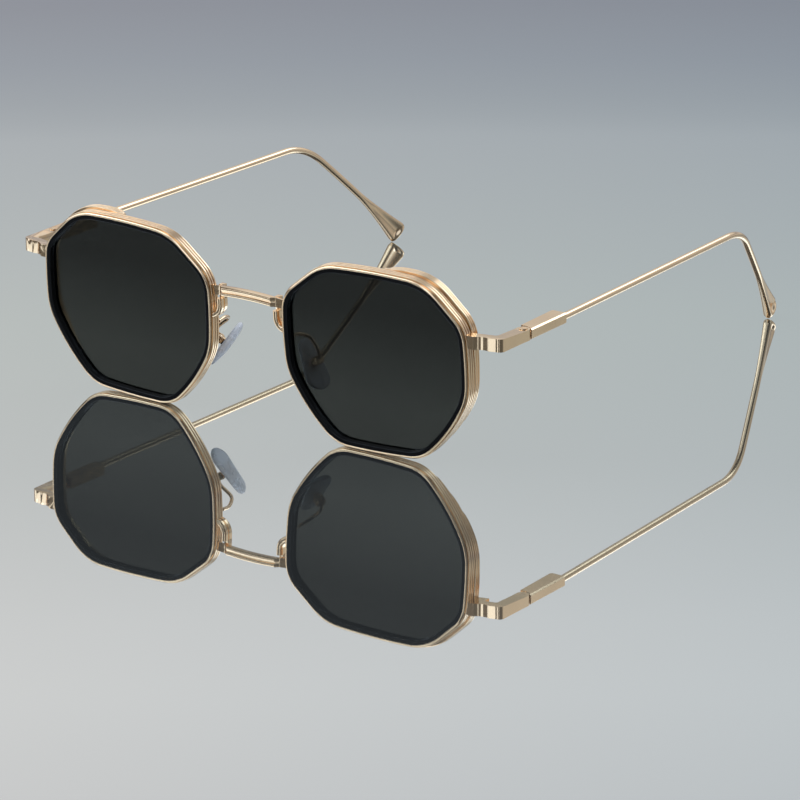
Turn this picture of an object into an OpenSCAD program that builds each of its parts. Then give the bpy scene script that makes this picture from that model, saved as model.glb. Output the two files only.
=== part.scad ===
// Geometric metal sunglasses, standing on the lower edges of the rims and the tips of the temples.
// Millimetres, +Z up. The lenses look towards -Y and the temples run back along +Y.
// Origin: middle of the footprint, on the surface that the glasses stand on.
// Right means +X. Left pieces are mirror images of the right ones.

/* [Lens outline] */
// Reach of the lens opening from its centre to the edge beside the temple
reach_temple = 24.7; // [24:0.1:26]
// Reach to the top edge
reach_top = 20.2; // [19.5:0.1:21.5]
// Reach to the edge beside the nose
reach_nose = 24.9; // [24:0.1:26]
// Reach to the bottom edge
reach_bottom = 23.1; // [22:0.1:24.5]
// How far the slanted edge above the temple side cuts in from the square corner
cut_upper_temple = 7.24; // [6.6:0.01:7.8]
// How far the slanted edge above the nose side cuts in from the square corner
cut_upper_nose = 7.35; // [6.6:0.01:7.8]
// How far the slanted edge below the nose side cuts in from the square corner
cut_lower_nose = 9.19; // [8.6:0.01:9.8]
// How far the slanted edge below the temple side cuts in from the square corner
cut_lower_temple = 9.53; // [9:0.01:10.1]
// Slope of the edge above the temple side, as the bearing it faces, in degrees
face_upper_temple = 48; // [45:1:51]
// Bearing that the top edge faces
face_top = 91; // [89:0.5:93]
// Bearing that the edge above the nose side faces
face_upper_nose = 128; // [125:1:131]
// Bearing that the nose edge faces
face_nose = 183; // [181:1:185]
// Bearing that the edge below the nose side faces
face_lower_nose = 217; // [214:1:220]
// Bearing that the bottom edge faces
face_bottom = 272; // [270:0.5:274]
// Bearing that the edge below the temple side faces
face_lower_temple = 323; // [320:1:326]
// Bow radius of the two upright edges
bow_side = 100; // [80:5:160]
// Bow radius of the two upper slanted edges
bow_upper = 315; // [200:5:400]
// Bow radius of the top and bottom edges
bow_top_bottom = 180; // [140:5:240]
// Bow radius of the two lower slanted edges
bow_lower = 45; // [42:1:60]
// Corner radius between the upright and the upper slanted edges
round_upper = 8; // [6:0.5:10]
// Corner radius between the top and the upper slanted edges
round_top = 13; // [10:0.5:15]
// Corner radius between the upright and the lower slanted edges
round_side = 14; // [10:0.5:16]
// Corner radius between the bottom and the lower slanted edges
round_bottom = 9.5; // [7:0.5:12]

/* [Front] */
// Distance between the centres of the two lenses
lens_apart = 71.9; // [71:0.1:74]
// Lean of the front when the glasses stand on a table, top forward, in degrees
front_lean = 3; // [0:0.5:6]
// Turn of each lens towards the temples, in degrees
lens_wrap = 1.5; // [0:0.5:3]

/* [Rim] */
// Depth of the front tier of the rim
rim_depth = 3.2; // [2.8:0.1:3.8]
// Outward thickness of the rim over the ridges
rim_band = 0.8; // [0.7:0.05:1.1]
// Outward thickness of the front lip
lip_band = 0.55; // [0.5:0.05:0.7]
// Depth of the front lip
lip_depth = 0.5; // [0.35:0.05:0.6]
// Depth of the groove behind the lip
neck_depth = 0.3; // [0.2:0.05:0.4]
// Outward thickness of the rim at the bottom of its grooves
neck_band = 0.42; // [0.38:0.02:0.48]
// Number of ridges round the front tier
ridge_count = 3; // [2:1:3]
// Share of each ridge pitch that is ridge
ridge_share = 0.66; // [0.5:0.02:0.8]
// Depth of the rear tier on the temple side
tier_depth = 2; // [1.4:0.1:2.6]
// How far the rear tier stands out towards the temple at the brow
tier_out = 0.3; // [0.1:0.05:0.4]
// How far the rear tier stands up at the brow
tier_up = 0.6; // [0.3:0.05:0.8]
// Number of fine ridges round the rear tier
fine_count = 5; // [3:1:6]
// Height of the fine ridges
fine_height = 0.15; // [0.08:0.01:0.2]
// Start of the rear tier on the top edge, from the lens centre
tier_start = 1; // [0:0.5:3]
// Length over which the rear tier rises to its full depth at the top
tier_rise = 2.8; // [1.5:0.1:5]
// Length over which the rear tier fades out below the temple side
tier_fade = 14.8; // [8:0.2:16]
// Place where the fading ends, along the lower slanted edge from the lens centre
tier_fade_end = -6.6; // [-8:0.2:-5]
// Bearing along which the rear tier fades
tier_fade_face = 49; // [46:1:52]

/* [Liner and lens] */
// Width of the black liner seen from the front
liner_width = 1; // [0.8:0.05:1.3]
// Depth of the channel in the rim that holds the liner
channel_deep = 0.22; // [0.15:0.01:0.26]
// Start of that channel behind the front of the rim
channel_from = 1; // [0.8:0.05:1.2]
// End of that channel behind the front of the rim
channel_to = 2.7; // [2.4:0.05:2.8]
// Step of the liner behind the front lip
liner_step = 0.12; // [0.05:0.01:0.3]
// Depth from the front of the rim to the lens
lens_recess = 1.6; // [1.3:0.05:1.7]
// Thickness of the flat lens
lens_thick = 1.2; // [1:0.05:1.3]
// How far the lens edge sits in the liner
lens_seat = 0.5; // [0.3:0.05:0.6]

/* [Bridge] */
// Space between a bracket leg and the lens opening beside it
bracket_space = 3.6; // [3.2:0.1:4.2]
// Thickness of a bracket leg
bracket_thick = 1.4; // [1.1:0.05:1.6]
// Depth of a bracket from front to back
bracket_deep = 2.8; // [2.4:0.1:3.2]
// Setback of the brackets behind the front plane
bracket_back = -0.2; // [-0.4:0.1:0.4]
// Height of the bracket top above the lens centre
bracket_top = 9.4; // [9:0.1:10]
// Height of the bracket foot above the lens centre
bracket_foot = 1; // [0.6:0.1:2]
// Groove width on a bracket and on the bridge bar
bar_groove = 0.5; // [0.3:0.05:0.7]
// Groove depth on a bracket and on the bridge bar
bar_groove_deep = 0.25; // [0.15:0.05:0.35]
// Height of the bridge bar
bar_tall = 2.3; // [1.8:0.1:2.5]
// Depth of the bridge bar
bar_deep = 1.6; // [1.3:0.1:2]
// Setback of the bridge bar behind the front plane
bar_back = -0.4; // [-0.6:0.1:0]
// Height of the middle of the bar above the lens centre
bar_up = 8.5; // [8.2:0.1:8.8]
// Radius of the arch of the bar
bar_arch = 95; // [70:5:140]
// Bevel along the edges of the bar
bar_bevel = 0.3; // [0.2:0.05:0.4]
// Depth of the slanted facet at each end of the bar
bar_turn = 1; // [0.7:0.1:1.2]
// How far inside the bracket legs those facets start
bar_turn_in = 0.4; // [0.2:0.1:0.8]

/* [End pieces] */
// Height of the hinge above the lens centre
hinge_up = 8.2; // [7.6:0.1:8.8]
// Distance of the hinge pin outwards from the lens opening
hinge_past = 7.7; // [7.3:0.05:8.6]
// Distance from the front plane back to the hinge pin
hinge_back = 12.9; // [12:0.1:14]
// Height of the end piece at the rim
arm_tall = 3.1; // [2.8:0.1:3.4]
// Height of the end piece at the hinge
arm_tall_hinge = 2.6; // [2.4:0.1:2.8]
// Distance of the front corner outwards from the hinge pin
corner_past = 1.05; // [0.8:0.05:1.3]
// Distance from the front plane back to the front corner
corner_back = 2.55; // [2.3:0.05:3]
// Radius of the front corner
corner_round = 1.4; // [1:0.1:1.8]
// Turn of the front corner into the front face, in degrees
corner_lead = 6; // [3:1:9]
// Setback of the end piece where it leaves the rim
arm_setback = 1; // [0.8:0.05:1.2]
// Thickness of the end piece at the rim, front to back
arm_thick = 2.2; // [2.1:0.05:2.6]
// Thickness of the end piece at its corner, front to back
arm_thick_corner = 2.3; // [2.1:0.05:2.6]
// Radius of the scallop in its front face
scallop_radius = 2.6; // [2.4:0.1:3.4]
// Depth of that scallop
scallop_deep = 0.95; // [0.7:0.05:1.05]
// Distance of the deepest line of the scallop outwards from the lens opening
scallop_past = 4.1; // [3.9:0.1:4.4]
// Turn of the scallop past its deepest line, in degrees
scallop_turn = 17; // [12:1:22]
// Length of the fillet on the inside of the corner
inner_fillet = 0.9; // [0.6:0.1:1.4]

/* [Hinge] */
// Radius of the rounded ears at the end of the end piece
ear_radius = 1.6; // [1.5:0.05:1.7]
// Thickness of the tongue on the temple block
tongue_thick = 1; // [0.8:0.05:1.1]
// Radius of the tongue round the pin
tongue_radius = 1.45; // [1.3:0.05:1.5]
// Width of the neck that carries the tongue
tongue_neck = 2.3; // [2:0.1:2.5]
// Radius of the hinge screw
pin_radius = 0.6; // [0.5:0.02:0.7]
// Radius of the head of the hinge screw
head_radius = 1; // [0.9:0.05:1.1]
// Height of the head of the hinge screw
head_tall = 0.45; // [0.35:0.05:0.5]
// Depth of the seat for that head
head_sunk = 0.25; // [0.15:0.05:0.3]
// Width of the driver slot in a screw
driver_slot = 0.25; // [0.2:0.05:0.3]
// Depth of the driver slot in a screw
driver_deep = 0.2; // [0.1:0.05:0.25]
// Clearance round the turning hinge parts
hinge_clear = 0.1; // [0.08:0.01:0.14]
// Running clearance of a pin in its bore, on the radius
pin_clear = 0.03; // [0.02:0.01:0.05]

/* [Temples] */
// Length of the hinge block behind the pin
block_long = 15.1; // [14:0.1:17]
// Height of the hinge block
block_tall = 2.7; // [2.5:0.05:3]
// Width of the hinge block inwards from the pin, at the front
block_in = 1.85; // [1.7:0.05:2]
// Width of the hinge block inwards from the pin, at the back
block_in_back = 2.15; // [1.9:0.05:2.4]
// Width of the hinge block outwards from the pin
block_out = 1.75; // [1.7:0.05:1.9]
// Bevel along the block
block_bevel = 0.35; // [0.2:0.05:0.5]
// Cut across the inner rear corner of the block
block_cut = 0.45; // [0.3:0.05:0.9]
// Gap between the ears and the hinge block
block_gap = 0.3; // [0.25:0.05:0.5]
// Start of the outer cheek of the block behind the pin
cheek_start = 0.95; // [0.8:0.05:1.2]
// Radius of the temple wire
wire_radius = 0.88; // [0.75:0.01:0.95]
// Offset of the wire outwards from the pin
wire_out = 0.6; // [0.4:0.05:0.7]
// Depth of the socket in the block for the wire
wire_socket = 5; // [3:0.5:7]
// Length of the straight wire, from its end in the block to the bend
wire_straight = 80.8; // [70:0.1:90]
// Length of the wire round the ear bend
bend_long = 14; // [11:0.5:18]
// Slope down of the straight wire, in degrees
dive_straight = 0.5; // [0:0.1:1]
// Slope down of the tail below the bend; the tail is as long as it takes to reach the table
dive_bend = 42.5; // [38:0.5:46]
// Slope down of the tail at its tip
dive_tip = 46; // [44:0.5:52]
// Turn inwards of the straight wire, in degrees
inward_straight = 1.9; // [1:0.1:3]
// Turn inwards of the tail
inward_tail = 16.6; // [12:0.2:20]
// Length of the flare at the end of the tail
flare_long = 17; // [14:1:22]
// Width of the flared tip
tip_wide = 5.6; // [5:0.1:6.2]
// Thickness of the two lobes of the flared tip
tip_thick = 2.2; // [1.9:0.1:2.6]
// Thickness of the dished tip between its lobes
tip_waist = 1.1; // [0.8:0.1:1.6]
// Length of the raised end behind the dish
tip_lip = 0.9; // [0.6:0.1:1.4]
// Rounding of the end of the tip
tip_round = 0.4; // [0.2:0.05:0.5]

/* [Nose pads] */
// Distance from the lens centre inwards to the pad pivot
pad_in = 21.55; // [21:0.05:22]
// Distance from the front plane back to the pad pivot
pad_back = 7.5; // [7:0.1:8.5]
// Height of the pad pivot below the lens centre
pad_down = 7.3; // [6.8:0.1:8]
// Lean of the pad towards the bridge at its top, in degrees
pad_lean = 34.5; // [30:0.5:40]
// Rake of the pad, top to the back, in degrees
pad_rake = 15; // [10:1:20]
// Turn of the pad face towards the back, in degrees
pad_splay = 14; // [10:0.5:20]
// Length of the pad
pad_long = 13; // [12:0.1:14]
// Width of the lower end of the pad
pad_wide = 6.4; // [5.6:0.1:7]
// Width of the upper end of the pad
pad_narrow = 4.8; // [4:0.1:5.4]
// Thickness of the pad
pad_thick = 1.9; // [1.7:0.05:2.2]
// Radius of the dome on the pad face
pad_dome = 26; // [22:1:40]
// Gap from the pivot to the back of the pad
pad_gap = 1.3; // [1.25:0.05:1.5]
// Radius of the lug and the cheeks round the pad screw
lug_radius = 0.95; // [0.9:0.01:1]
// Thickness of the lug
lug_thick = 1; // [0.8:0.05:1.2]
// Height of the lug and the cheeks behind the pad screw
lug_tall = 1.6; // [1.4:0.05:1.7]
// Thickness of each cheek of the pad box
cheek_thick = 0.45; // [0.35:0.05:0.6]
// Radius of the pad screw
pad_pin = 0.42; // [0.36:0.02:0.46]
// Radius of the head of the pad screw
pad_head = 0.63; // [0.55:0.02:0.75]
// Height of the head of the pad screw
pad_head_tall = 0.3; // [0.25:0.05:0.4]
// Radius of the wire of the pad arm
arm_wire = 0.45; // [0.4:0.01:0.55]
// Height of the foot of the pad arm, below the lens centre
arm_foot_down = 0.6; // [0:0.1:2]
// How far the wire of the pad arm has gone back before it turns
arm_rise_back = 3.1; // [2.8:0.1:3.6]
// How far it has gone outwards there
arm_rise_out = 0.3; // [0:0.1:0.6]
// How far back the crest of the loop of the pad arm lies from its foot
arm_crest_back = 5.6; // [5.2:0.1:6]
// How far outwards that crest lies
arm_crest_out = 1.6; // [1.2:0.1:2]
// How far down that crest lies
arm_crest_down = 1.5; // [1:0.1:2]
// Width of the plate of the core inside the pad
core_wide = 2.4; // [2:0.1:3]
// Height of the plate of the core inside the pad
core_tall = 4; // [3:0.1:5]
// Thickness of the plate of the core inside the pad
core_plate = 0.5; // [0.4:0.05:0.7]

/* [Rim locks] */
// Width of the rim lock block
lock_wide = 2.1; // [1.8:0.1:2.4]
// Thickness of the rim lock block behind the end piece
lock_thick = 1.9; // [1.6:0.1:2.2]
// Height of the rim lock block
lock_tall = 2.1; // [1.8:0.1:2.6]
// Radius of the rim lock screw
lock_pin = 0.45; // [0.4:0.01:0.5]
// Radius of the head of the rim lock screw
lock_head = 0.72; // [0.6:0.02:0.8]
// Height of the head of the rim lock screw
lock_head_tall = 0.25; // [0.2:0.05:0.4]

/* [Fits] */
// Gap between pieces that are soldered or pressed together
fit_gap = 0.02; // [0.01:0.005:0.04]

/* [Hidden] */

gold = "#d9bb98";
liner_black = "#101012";
lens_grey = "#2c2f33";
clear_pad = "#cfd6e6";
round_facets = 48;
arc_steps = 6;
end_steps = 14;
wire_sides = 16;
arm_sides = 10;
past = 1;
beyond = 3 * reach_nose;

// Places that follow the lenses
leg_in = lens_apart / 2 - reach_nose - bracket_space;
arm_rim_out = lens_apart / 2 + reach_temple;
hinge_out = arm_rim_out + hinge_past;
corner_out = hinge_out + corner_past;

// Outline of the lens opening: eight bowed edges joined by eight corner arcs
edge_steps = 2;
corner_steps = 5;
function slant_reach(side, level, face, cut) = side * abs(cos(face)) + level * abs(sin(face)) - cut;
edge_reach = [
  reach_temple,
  slant_reach(reach_temple, reach_top, face_upper_temple, cut_upper_temple),
  reach_top,
  slant_reach(reach_nose, reach_top, face_upper_nose, cut_upper_nose),
  reach_nose,
  slant_reach(reach_nose, reach_bottom, face_lower_nose, cut_lower_nose),
  reach_bottom,
  slant_reach(reach_temple, reach_bottom, face_lower_temple, cut_lower_temple)
];
edge_face = [
  0, face_upper_temple, face_top, face_upper_nose,
  face_nose, face_lower_nose, face_bottom, face_lower_temple
];
edge_bow = [
  bow_side, bow_upper, bow_top_bottom, bow_upper,
  bow_side, bow_lower, bow_top_bottom, bow_lower
];
corner_arc = [
  round_upper, round_top, round_top, round_upper,
  round_side, round_bottom, round_bottom, round_side
];

function polar(radius, bearing) = radius * [cos(bearing), sin(bearing)];
function nearest_turn(angle, reference) = reference + (angle - reference + 540) % 360 - 180;
function bearing_of(from, to, reference) =
  nearest_turn(atan2(to.y - from.y, to.x - from.x), reference);

edge_middle = [for (i = [0:7]) polar(edge_reach[i] - edge_bow[i], edge_face[i])];

// Centre of the corner arc that touches edge i and the next edge from inside
function corner_middle(i) =
  let (
    j = (i + 1) % 8,
    first = edge_bow[i] - corner_arc[i],
    second = edge_bow[j] - corner_arc[i],
    apart = norm(edge_middle[j] - edge_middle[i]),
    along = (first ^ 2 - second ^ 2 + apart ^ 2) / (2 * apart),
    across = sqrt(first ^ 2 - along ^ 2),
    way = (edge_middle[j] - edge_middle[i]) / apart,
    side = across * [-way.y, way.x],
    outward = polar(1, edge_face[i]) + polar(1, edge_face[j])
  )
  edge_middle[i] + along * way + (side * outward > 0 ? side : -side);

corner_centre = [for (i = [0:7]) corner_middle(i)];

function arc_points(centre, radius, from, to, steps) =
  [for (k = [0:steps - 1]) centre + polar(radius, from + (to - from) * k / steps)];

function edge_points(i, grow) =
  arc_points(
    edge_middle[i], edge_bow[i] + grow,
    bearing_of(edge_middle[i], corner_centre[(i + 7) % 8], edge_face[i]),
    bearing_of(edge_middle[i], corner_centre[i], edge_face[i]),
    edge_steps
  );

function corner_points(i, grow) =
  let (j = (i + 1) % 8)
  arc_points(
    corner_centre[i], corner_arc[i] + grow,
    bearing_of(edge_middle[i], corner_centre[i], edge_face[i]),
    bearing_of(edge_middle[j], corner_centre[i], edge_face[j] + (j == 0 ? 360 : 0)),
    corner_steps
  );

// Lens outline, moved outwards by grow
function outline(grow) =
  [for (i = [0:7]) each concat(edge_points(i, grow), corner_points(i, grow))];

// Where the glasses stand
rim_low = max([for (point = outline(rim_band)) -point.y]);
lens_height = rim_low * cos(front_lean) - (lip_depth + neck_depth) * sin(front_lean);
hinge_height = lens_height + hinge_up;

// Route of a temple wire from the pin, as runs of length, slope down and turn inwards
bend_steps = 9;
tail_steps = 12;
wire_start = [wire_out, block_long - wire_socket, 0];
function mix(a, b, share) = a + (b - a) * share;
function bend_dive(i) = mix(dive_straight, dive_bend, i / bend_steps);
function tail_dive(i) = mix(dive_bend, dive_tip, i / tail_steps);
function total(values) = values * [for (value = values) 1];
straight_drop = wire_straight * sin(dive_straight);
bend_drop = bend_long / bend_steps * total([for (i = [0.5:bend_steps]) sin(bend_dive(i))]);
tip_low = (tip_wide / 2 - tip_round) * cos(dive_tip) + tip_round;
tail_drop = hinge_height - straight_drop - bend_drop - tip_lip * sin(dive_tip) - tip_low;
tail_long = tail_drop * tail_steps / total([for (i = [0.5:tail_steps]) sin(tail_dive(i))]);
wire_runs = concat(
  [[wire_straight, dive_straight, inward_straight]],
  [
    for (i = [0.5:bend_steps])
      [
        bend_long / bend_steps,
        bend_dive(i),
        mix(inward_straight, inward_tail, i / bend_steps)
      ]
  ],
  [
    for (i = [0.5:tail_steps])
      [tail_long / tail_steps, tail_dive(i), inward_tail]
  ],
  [for (long = [tip_lip, tip_round * sin(45), tip_round * (1 - sin(45))])
    [long, dive_tip, inward_tail]]
);
function run_way(run) =
  [-sin(run[2]) * cos(run[1]), cos(run[2]) * cos(run[1]), -sin(run[1])];
wire_route = [
  for (i = 0, spot = wire_start; i <= len(wire_runs);
    spot = i < len(wire_runs) ? spot + wire_runs[i][0] * run_way(wire_runs[i]) : spot, i = i + 1)
    spot
];
tip_spot = wire_route[len(wire_route) - 3];

// Front plane, placed so that the origin lies in the middle of the footprint
tip_reach = hinge_back + tip_spot.y + (tip_wide / 2 - tip_round) * sin(dive_tip) + tip_round;
front_reach = (reach_top + rim_band) * sin(front_lean);
front_place = -(tip_reach - front_reach) / 2;

// Moves between frames
function turn_about_x(v, a) = [v.x, v.y * cos(a) - v.z * sin(a), v.y * sin(a) + v.z * cos(a)];
function turn_about_z(v, a) = [v.x * cos(a) - v.y * sin(a), v.x * sin(a) + v.y * cos(a), v.z];
function turn_about_y(v, a) = [v.x * cos(a) + v.z * sin(a), v.y, -v.x * sin(a) + v.z * cos(a)];
function lens_to_front(v) = [lens_apart / 2, 0, 0] + turn_about_z(v, lens_wrap);
pad_pivot = [lens_apart / 2 - pad_in, pad_back, -pad_down];
function pad_to_front(v) =
  pad_pivot + turn_about_y(turn_about_x(turn_about_z(v, -pad_splay), -pad_rake), -pad_lean);

module on_front() {
  translate([0, front_place, lens_height]) rotate([front_lean, 0, 0]) children();
}

module at_lens() {
  on_front() translate([lens_apart / 2, 0, 0]) rotate([0, 0, lens_wrap]) children();
}

module at_level() {
  translate([0, front_place, hinge_height]) children();
}

module at_pin() {
  at_level() translate([hinge_out, hinge_back, 0]) children();
}

module at_pad() {
  on_front() translate(pad_pivot)
    rotate([-pad_rake, -pad_lean, 0]) rotate([0, 0, -pad_splay]) children();
}

module opposite() {
  mirror([1, 0, 0]) children();
}

// Solid with the lens outline, between two depths behind the front plane
module lens_prism(grow, from, to) {
  translate([0, to, 0]) rotate([90, 0, 0]) linear_extrude(to - from) polygon(outline(grow));
}

// Outline of the rear tier, which stands out at the brow and falls back to the lens outline
function share_between(value, low, high) = max(0, min(1, (value - low) / (high - low)));
function brow_share(point) =
  share_between(point.x, tier_start + tier_rise / 2, tier_start + 2 * tier_rise)
  * share_between(point.y, -reach_top / 2, reach_top / 2);
function tier_outline(grow) =
  [for (point = outline(grow)) point + brow_share(point) * [tier_out, tier_up]];

// Wedge that lets the rear tier rise from nothing over a given length
module tier_wedge(rise) {
  translate([0, 0, -beyond]) linear_extrude(2 * beyond) polygon([
    [0, -past],
    [0, 0],
    [rise, tier_depth],
    [rise, tier_depth + past],
    [beyond, tier_depth + past],
    [beyond, -past]
  ]);
}

module tier_prism(grow, from, to) {
  intersection() {
    translate([0, to, 0]) rotate([90, 0, 0]) linear_extrude(to - from) polygon(tier_outline(grow));
    translate([tier_start, rim_depth, 0]) tier_wedge(tier_rise);
    rotate([0, -tier_fade_face, 0]) translate([tier_fade_end, rim_depth, 0]) tier_wedge(tier_fade);
  }
}

// Half thickness of a section at a turn round it, from those of its lobes and its waist
function thick_at(turn, lobe, waist) =
  sin(turn) * (2 * lobe - waist - 2 * (lobe - waist) * sin(turn) ^ 2);

// Closed tube through a route, with the half width, lobe and waist of its section at each point
module swept_tube(route, halves, sides, upright) {
  last = len(route) - 1;
  ways = [
    for (i = [0:last])
      let (way = route[min(i + 1, last)] - route[max(i - 1, 0)]) way / norm(way)
  ];
  rings = [
    for (i = [0:last])
      let (
        level = cross(ways[i], upright),
        across = level / norm(level),
        above = cross(across, ways[i])
      )
      for (k = [0:sides - 1])
        route[i]
        + halves[i][0] * cos(360 * k / sides) * above
        + thick_at(360 * k / sides, halves[i][1], halves[i][2]) * across
  ];
  first_cap = [[for (k = [0:sides - 1]) k]];
  last_cap = [[for (k = [sides - 1:-1:0]) last * sides + k]];
  walls = [
    for (i = [0:last - 1], k = [0:sides - 1])
      let (
        a = i * sides + k,
        b = a + sides,
        c = (i + 1) * sides + (k + 1) % sides,
        d = i * sides + (k + 1) % sides
      )
      each [[a, b, c], [a, c, d]]
  ];
  polyhedron(points = rings, faces = concat(first_cap, last_cap, walls));
}

// Rim: thin front lip, ridged front tier, and a finely ridged rear tier on the temple side
ridge_pitch = (rim_depth - lip_depth - neck_depth) / ridge_count;
fine_pitch = tier_depth / fine_count;
tier_from = rim_depth - ridge_pitch * (1 - ridge_share) / 2;

module rim() {
  color(gold) at_lens() difference() {
    union() {
      lens_prism(lip_band, 0, lip_depth);
      lens_prism(neck_band, lip_depth / 2, rim_depth);
      for (i = [0:ridge_count - 1]) {
        ridge_from = lip_depth + neck_depth + i * ridge_pitch;
        lens_prism(rim_band, ridge_from, ridge_from + ridge_pitch * ridge_share);
      }
      tier_prism(rim_band - fine_height, tier_from, rim_depth + tier_depth);
      for (i = [0:fine_count - 1]) {
        fine_from = rim_depth + i * fine_pitch;
        tier_prism(rim_band, fine_from, fine_from + fine_pitch * ridge_share);
      }
    }
    lens_prism(0, -past, rim_depth + tier_depth + past);
    lens_prism(channel_deep, channel_from, channel_to);
  }
}

// Space that the rim fills, with a gap, for the pieces that are soldered on
module rim_space(gap) {
  at_lens() {
    lens_prism(rim_band + gap, -past, rim_depth + gap);
    tier_prism(rim_band + gap, -past, rim_depth + tier_depth + gap);
  }
}

// Black liner with a rib in the channel of the rim and a groove for the lens
module liner() {
  color(liner_black) at_lens() difference() {
    union() {
      lens_prism(-fit_gap, liner_step, rim_depth - liner_step);
      lens_prism(channel_deep - fit_gap, channel_from + fit_gap, channel_to - fit_gap);
    }
    lens_prism(-liner_width, -past, rim_depth + past);
    lens_prism(
      lens_seat - liner_width + fit_gap,
      lens_recess - fit_gap,
      lens_recess + lens_thick + fit_gap
    );
  }
}

module lens() {
  color(lens_grey) at_lens()
    lens_prism(lens_seat - liner_width, lens_recess, lens_recess + lens_thick);
}

// Section of the bar, with the groove in its front
module bar_section() {
  polygon([
    [-bar_tall / 2 + bar_bevel, 0],
    [-bar_groove / 2, 0],
    [0, bar_groove_deep],
    [bar_groove / 2, 0],
    [bar_tall / 2 - bar_bevel, 0],
    [bar_tall / 2, bar_bevel],
    [bar_tall / 2, bar_deep - bar_bevel],
    [bar_tall / 2 - bar_bevel, bar_deep],
    [-bar_tall / 2 + bar_bevel, bar_deep],
    [-bar_tall / 2, bar_deep - bar_bevel],
    [-bar_tall / 2, bar_bevel]
  ]);
}

// Arched strip across the nose with a given section
module arched_strip() {
  on_front() translate([0, bar_back, bar_up - bar_arch]) rotate([90, 0, 0]) mirror([0, 0, 1])
    rotate_extrude($fn = round_facets * 4) translate([bar_arch, 0]) children();
}

// Plan of the bar, whose ends turn back before they meet the rims
module bar_plan() {
  bar_reach = lens_apart / 2 - reach_nose;
  bar_rear = bar_back + bar_deep + past;
  facet_from = leg_in - bar_turn_in;
  facet_to = facet_from + bar_turn;
  polygon([
    [-bar_reach, bar_rear],
    [-bar_reach, bar_back + bar_turn],
    [-facet_to, bar_back + bar_turn],
    [-facet_from, bar_back],
    [facet_from, bar_back],
    [facet_to, bar_back + bar_turn],
    [bar_reach, bar_back + bar_turn],
    [bar_reach, bar_rear]
  ]);
}

// Bridge bar: arched, with a groove along its front, laid over the bracket legs
module bridge_bar() {
  color(gold) difference() {
    intersection() {
      arched_strip() bar_section();
      on_front() translate([0, 0, bar_up - 2 * bar_tall]) linear_extrude(3 * bar_tall) bar_plan();
    }
    for (side = [0, 1])
      mirror([side, 0, 0])
        at_lens() lens_prism(rim_band + fit_gap, -past, rim_depth + fit_gap);
  }
}

// Bracket: a grooved leg behind the bar that runs down beside the rim and hooks onto it
module bridge_bracket() {
  hook_height = bracket_foot + bracket_space;
  color(gold) difference() {
    on_front() translate([leg_in, bracket_back + bracket_deep, 0]) rotate([90, 0, 0])
      difference() {
        linear_extrude(bracket_deep) {
          translate([0, hook_height]) square([bracket_thick, bracket_top - hook_height]);
          intersection() {
            translate([bracket_space, hook_height]) difference() {
              circle(bracket_space, $fn = round_facets);
              circle(bracket_space - bracket_thick, $fn = round_facets);
            }
            translate([0, bracket_foot]) square([bracket_space, bracket_space + fit_gap]);
          }
        }
        translate([-past, hook_height, (bracket_deep - bar_groove) / 2])
          cube([past + bar_groove_deep, bar_up - bar_tall - hook_height, bar_groove]);
      }
    arched_strip() translate([-bar_tall / 2 - fit_gap, -past])
      square([2 * bar_tall, bar_deep + fit_gap + past]);
    rim_space(fit_gap);
  }
}

// End piece: scalloped front arm, rounded corner and side arm that ends in two hinge ears
function arm_rear(out) =
  mix(
    arm_setback + arm_thick, corner_back + arm_thick_corner,
    (out - arm_rim_out) / (hinge_past - ear_radius)
  );

module end_piece_plan() {
  scallop_spot = [arm_rim_out + scallop_past, arm_setback + scallop_deep - scallop_radius];
  scallop_lead = asin(1 - scallop_deep / scallop_radius);
  corner_spot = [corner_out - corner_round, corner_back + corner_round];
  side_lead = atan2(ear_radius - corner_past, hinge_back - corner_spot.y);
  inside = hinge_out - ear_radius;
  fillet_out = inside - inner_fillet;
  polygon(concat(
    [[arm_rim_out - past, arm_setback]],
    arc_points(scallop_spot, scallop_radius, 180 - scallop_lead, 90 - scallop_turn, arc_steps),
    arc_points(corner_spot, corner_round, -90 - corner_lead, 0, arc_steps),
    [[corner_out, corner_spot.y]],
    arc_points([hinge_out, hinge_back], ear_radius, -side_lead, 180, end_steps),
    [[inside, hinge_back]],
    arc_points(
      [fillet_out, arm_rear(fillet_out) + inner_fillet], inner_fillet, 0, -90, arc_steps
    ),
    [[fillet_out, arm_rear(fillet_out)]],
    [[arm_rim_out - past, arm_rear(arm_rim_out - past)]]
  ));
}

// Side view of the end piece, taller at the rim than at the hinge
module end_piece_side() {
  arm_end = hinge_back + ear_radius + past;
  polygon([
    [-past, -arm_tall / 2],
    [corner_back + corner_round, -arm_tall / 2],
    [hinge_back - ear_radius, -arm_tall_hinge / 2],
    [arm_end, -arm_tall_hinge / 2],
    [arm_end, arm_tall_hinge / 2],
    [hinge_back - ear_radius, arm_tall_hinge / 2],
    [corner_back + corner_round, arm_tall / 2],
    [-past, arm_tall / 2]
  ]);
}

module end_piece() {
  slot_tall = tongue_thick + 2 * hinge_clear;
  color(gold) difference() {
    at_level() intersection() {
      translate([0, 0, -arm_tall]) linear_extrude(2 * arm_tall) end_piece_plan();
      translate([arm_rim_out - 2 * past, 0, 0]) rotate([90, 0, 90])
        linear_extrude(corner_out - arm_rim_out + 4 * past) end_piece_side();
    }
    rim_space(fit_gap);
    at_pin() {
      translate([-2 * ear_radius, -tongue_radius - hinge_clear, -slot_tall / 2])
        cube([4 * ear_radius, 4 * ear_radius, slot_tall]);
      translate([0, 0, -arm_tall])
        cylinder(r = pin_radius + fit_gap, h = 2 * arm_tall, $fn = round_facets);
      translate([0, 0, arm_tall_hinge / 2 - head_sunk])
        cylinder(r = head_radius + fit_gap, h = arm_tall, $fn = round_facets);
    }
  }
}

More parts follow.
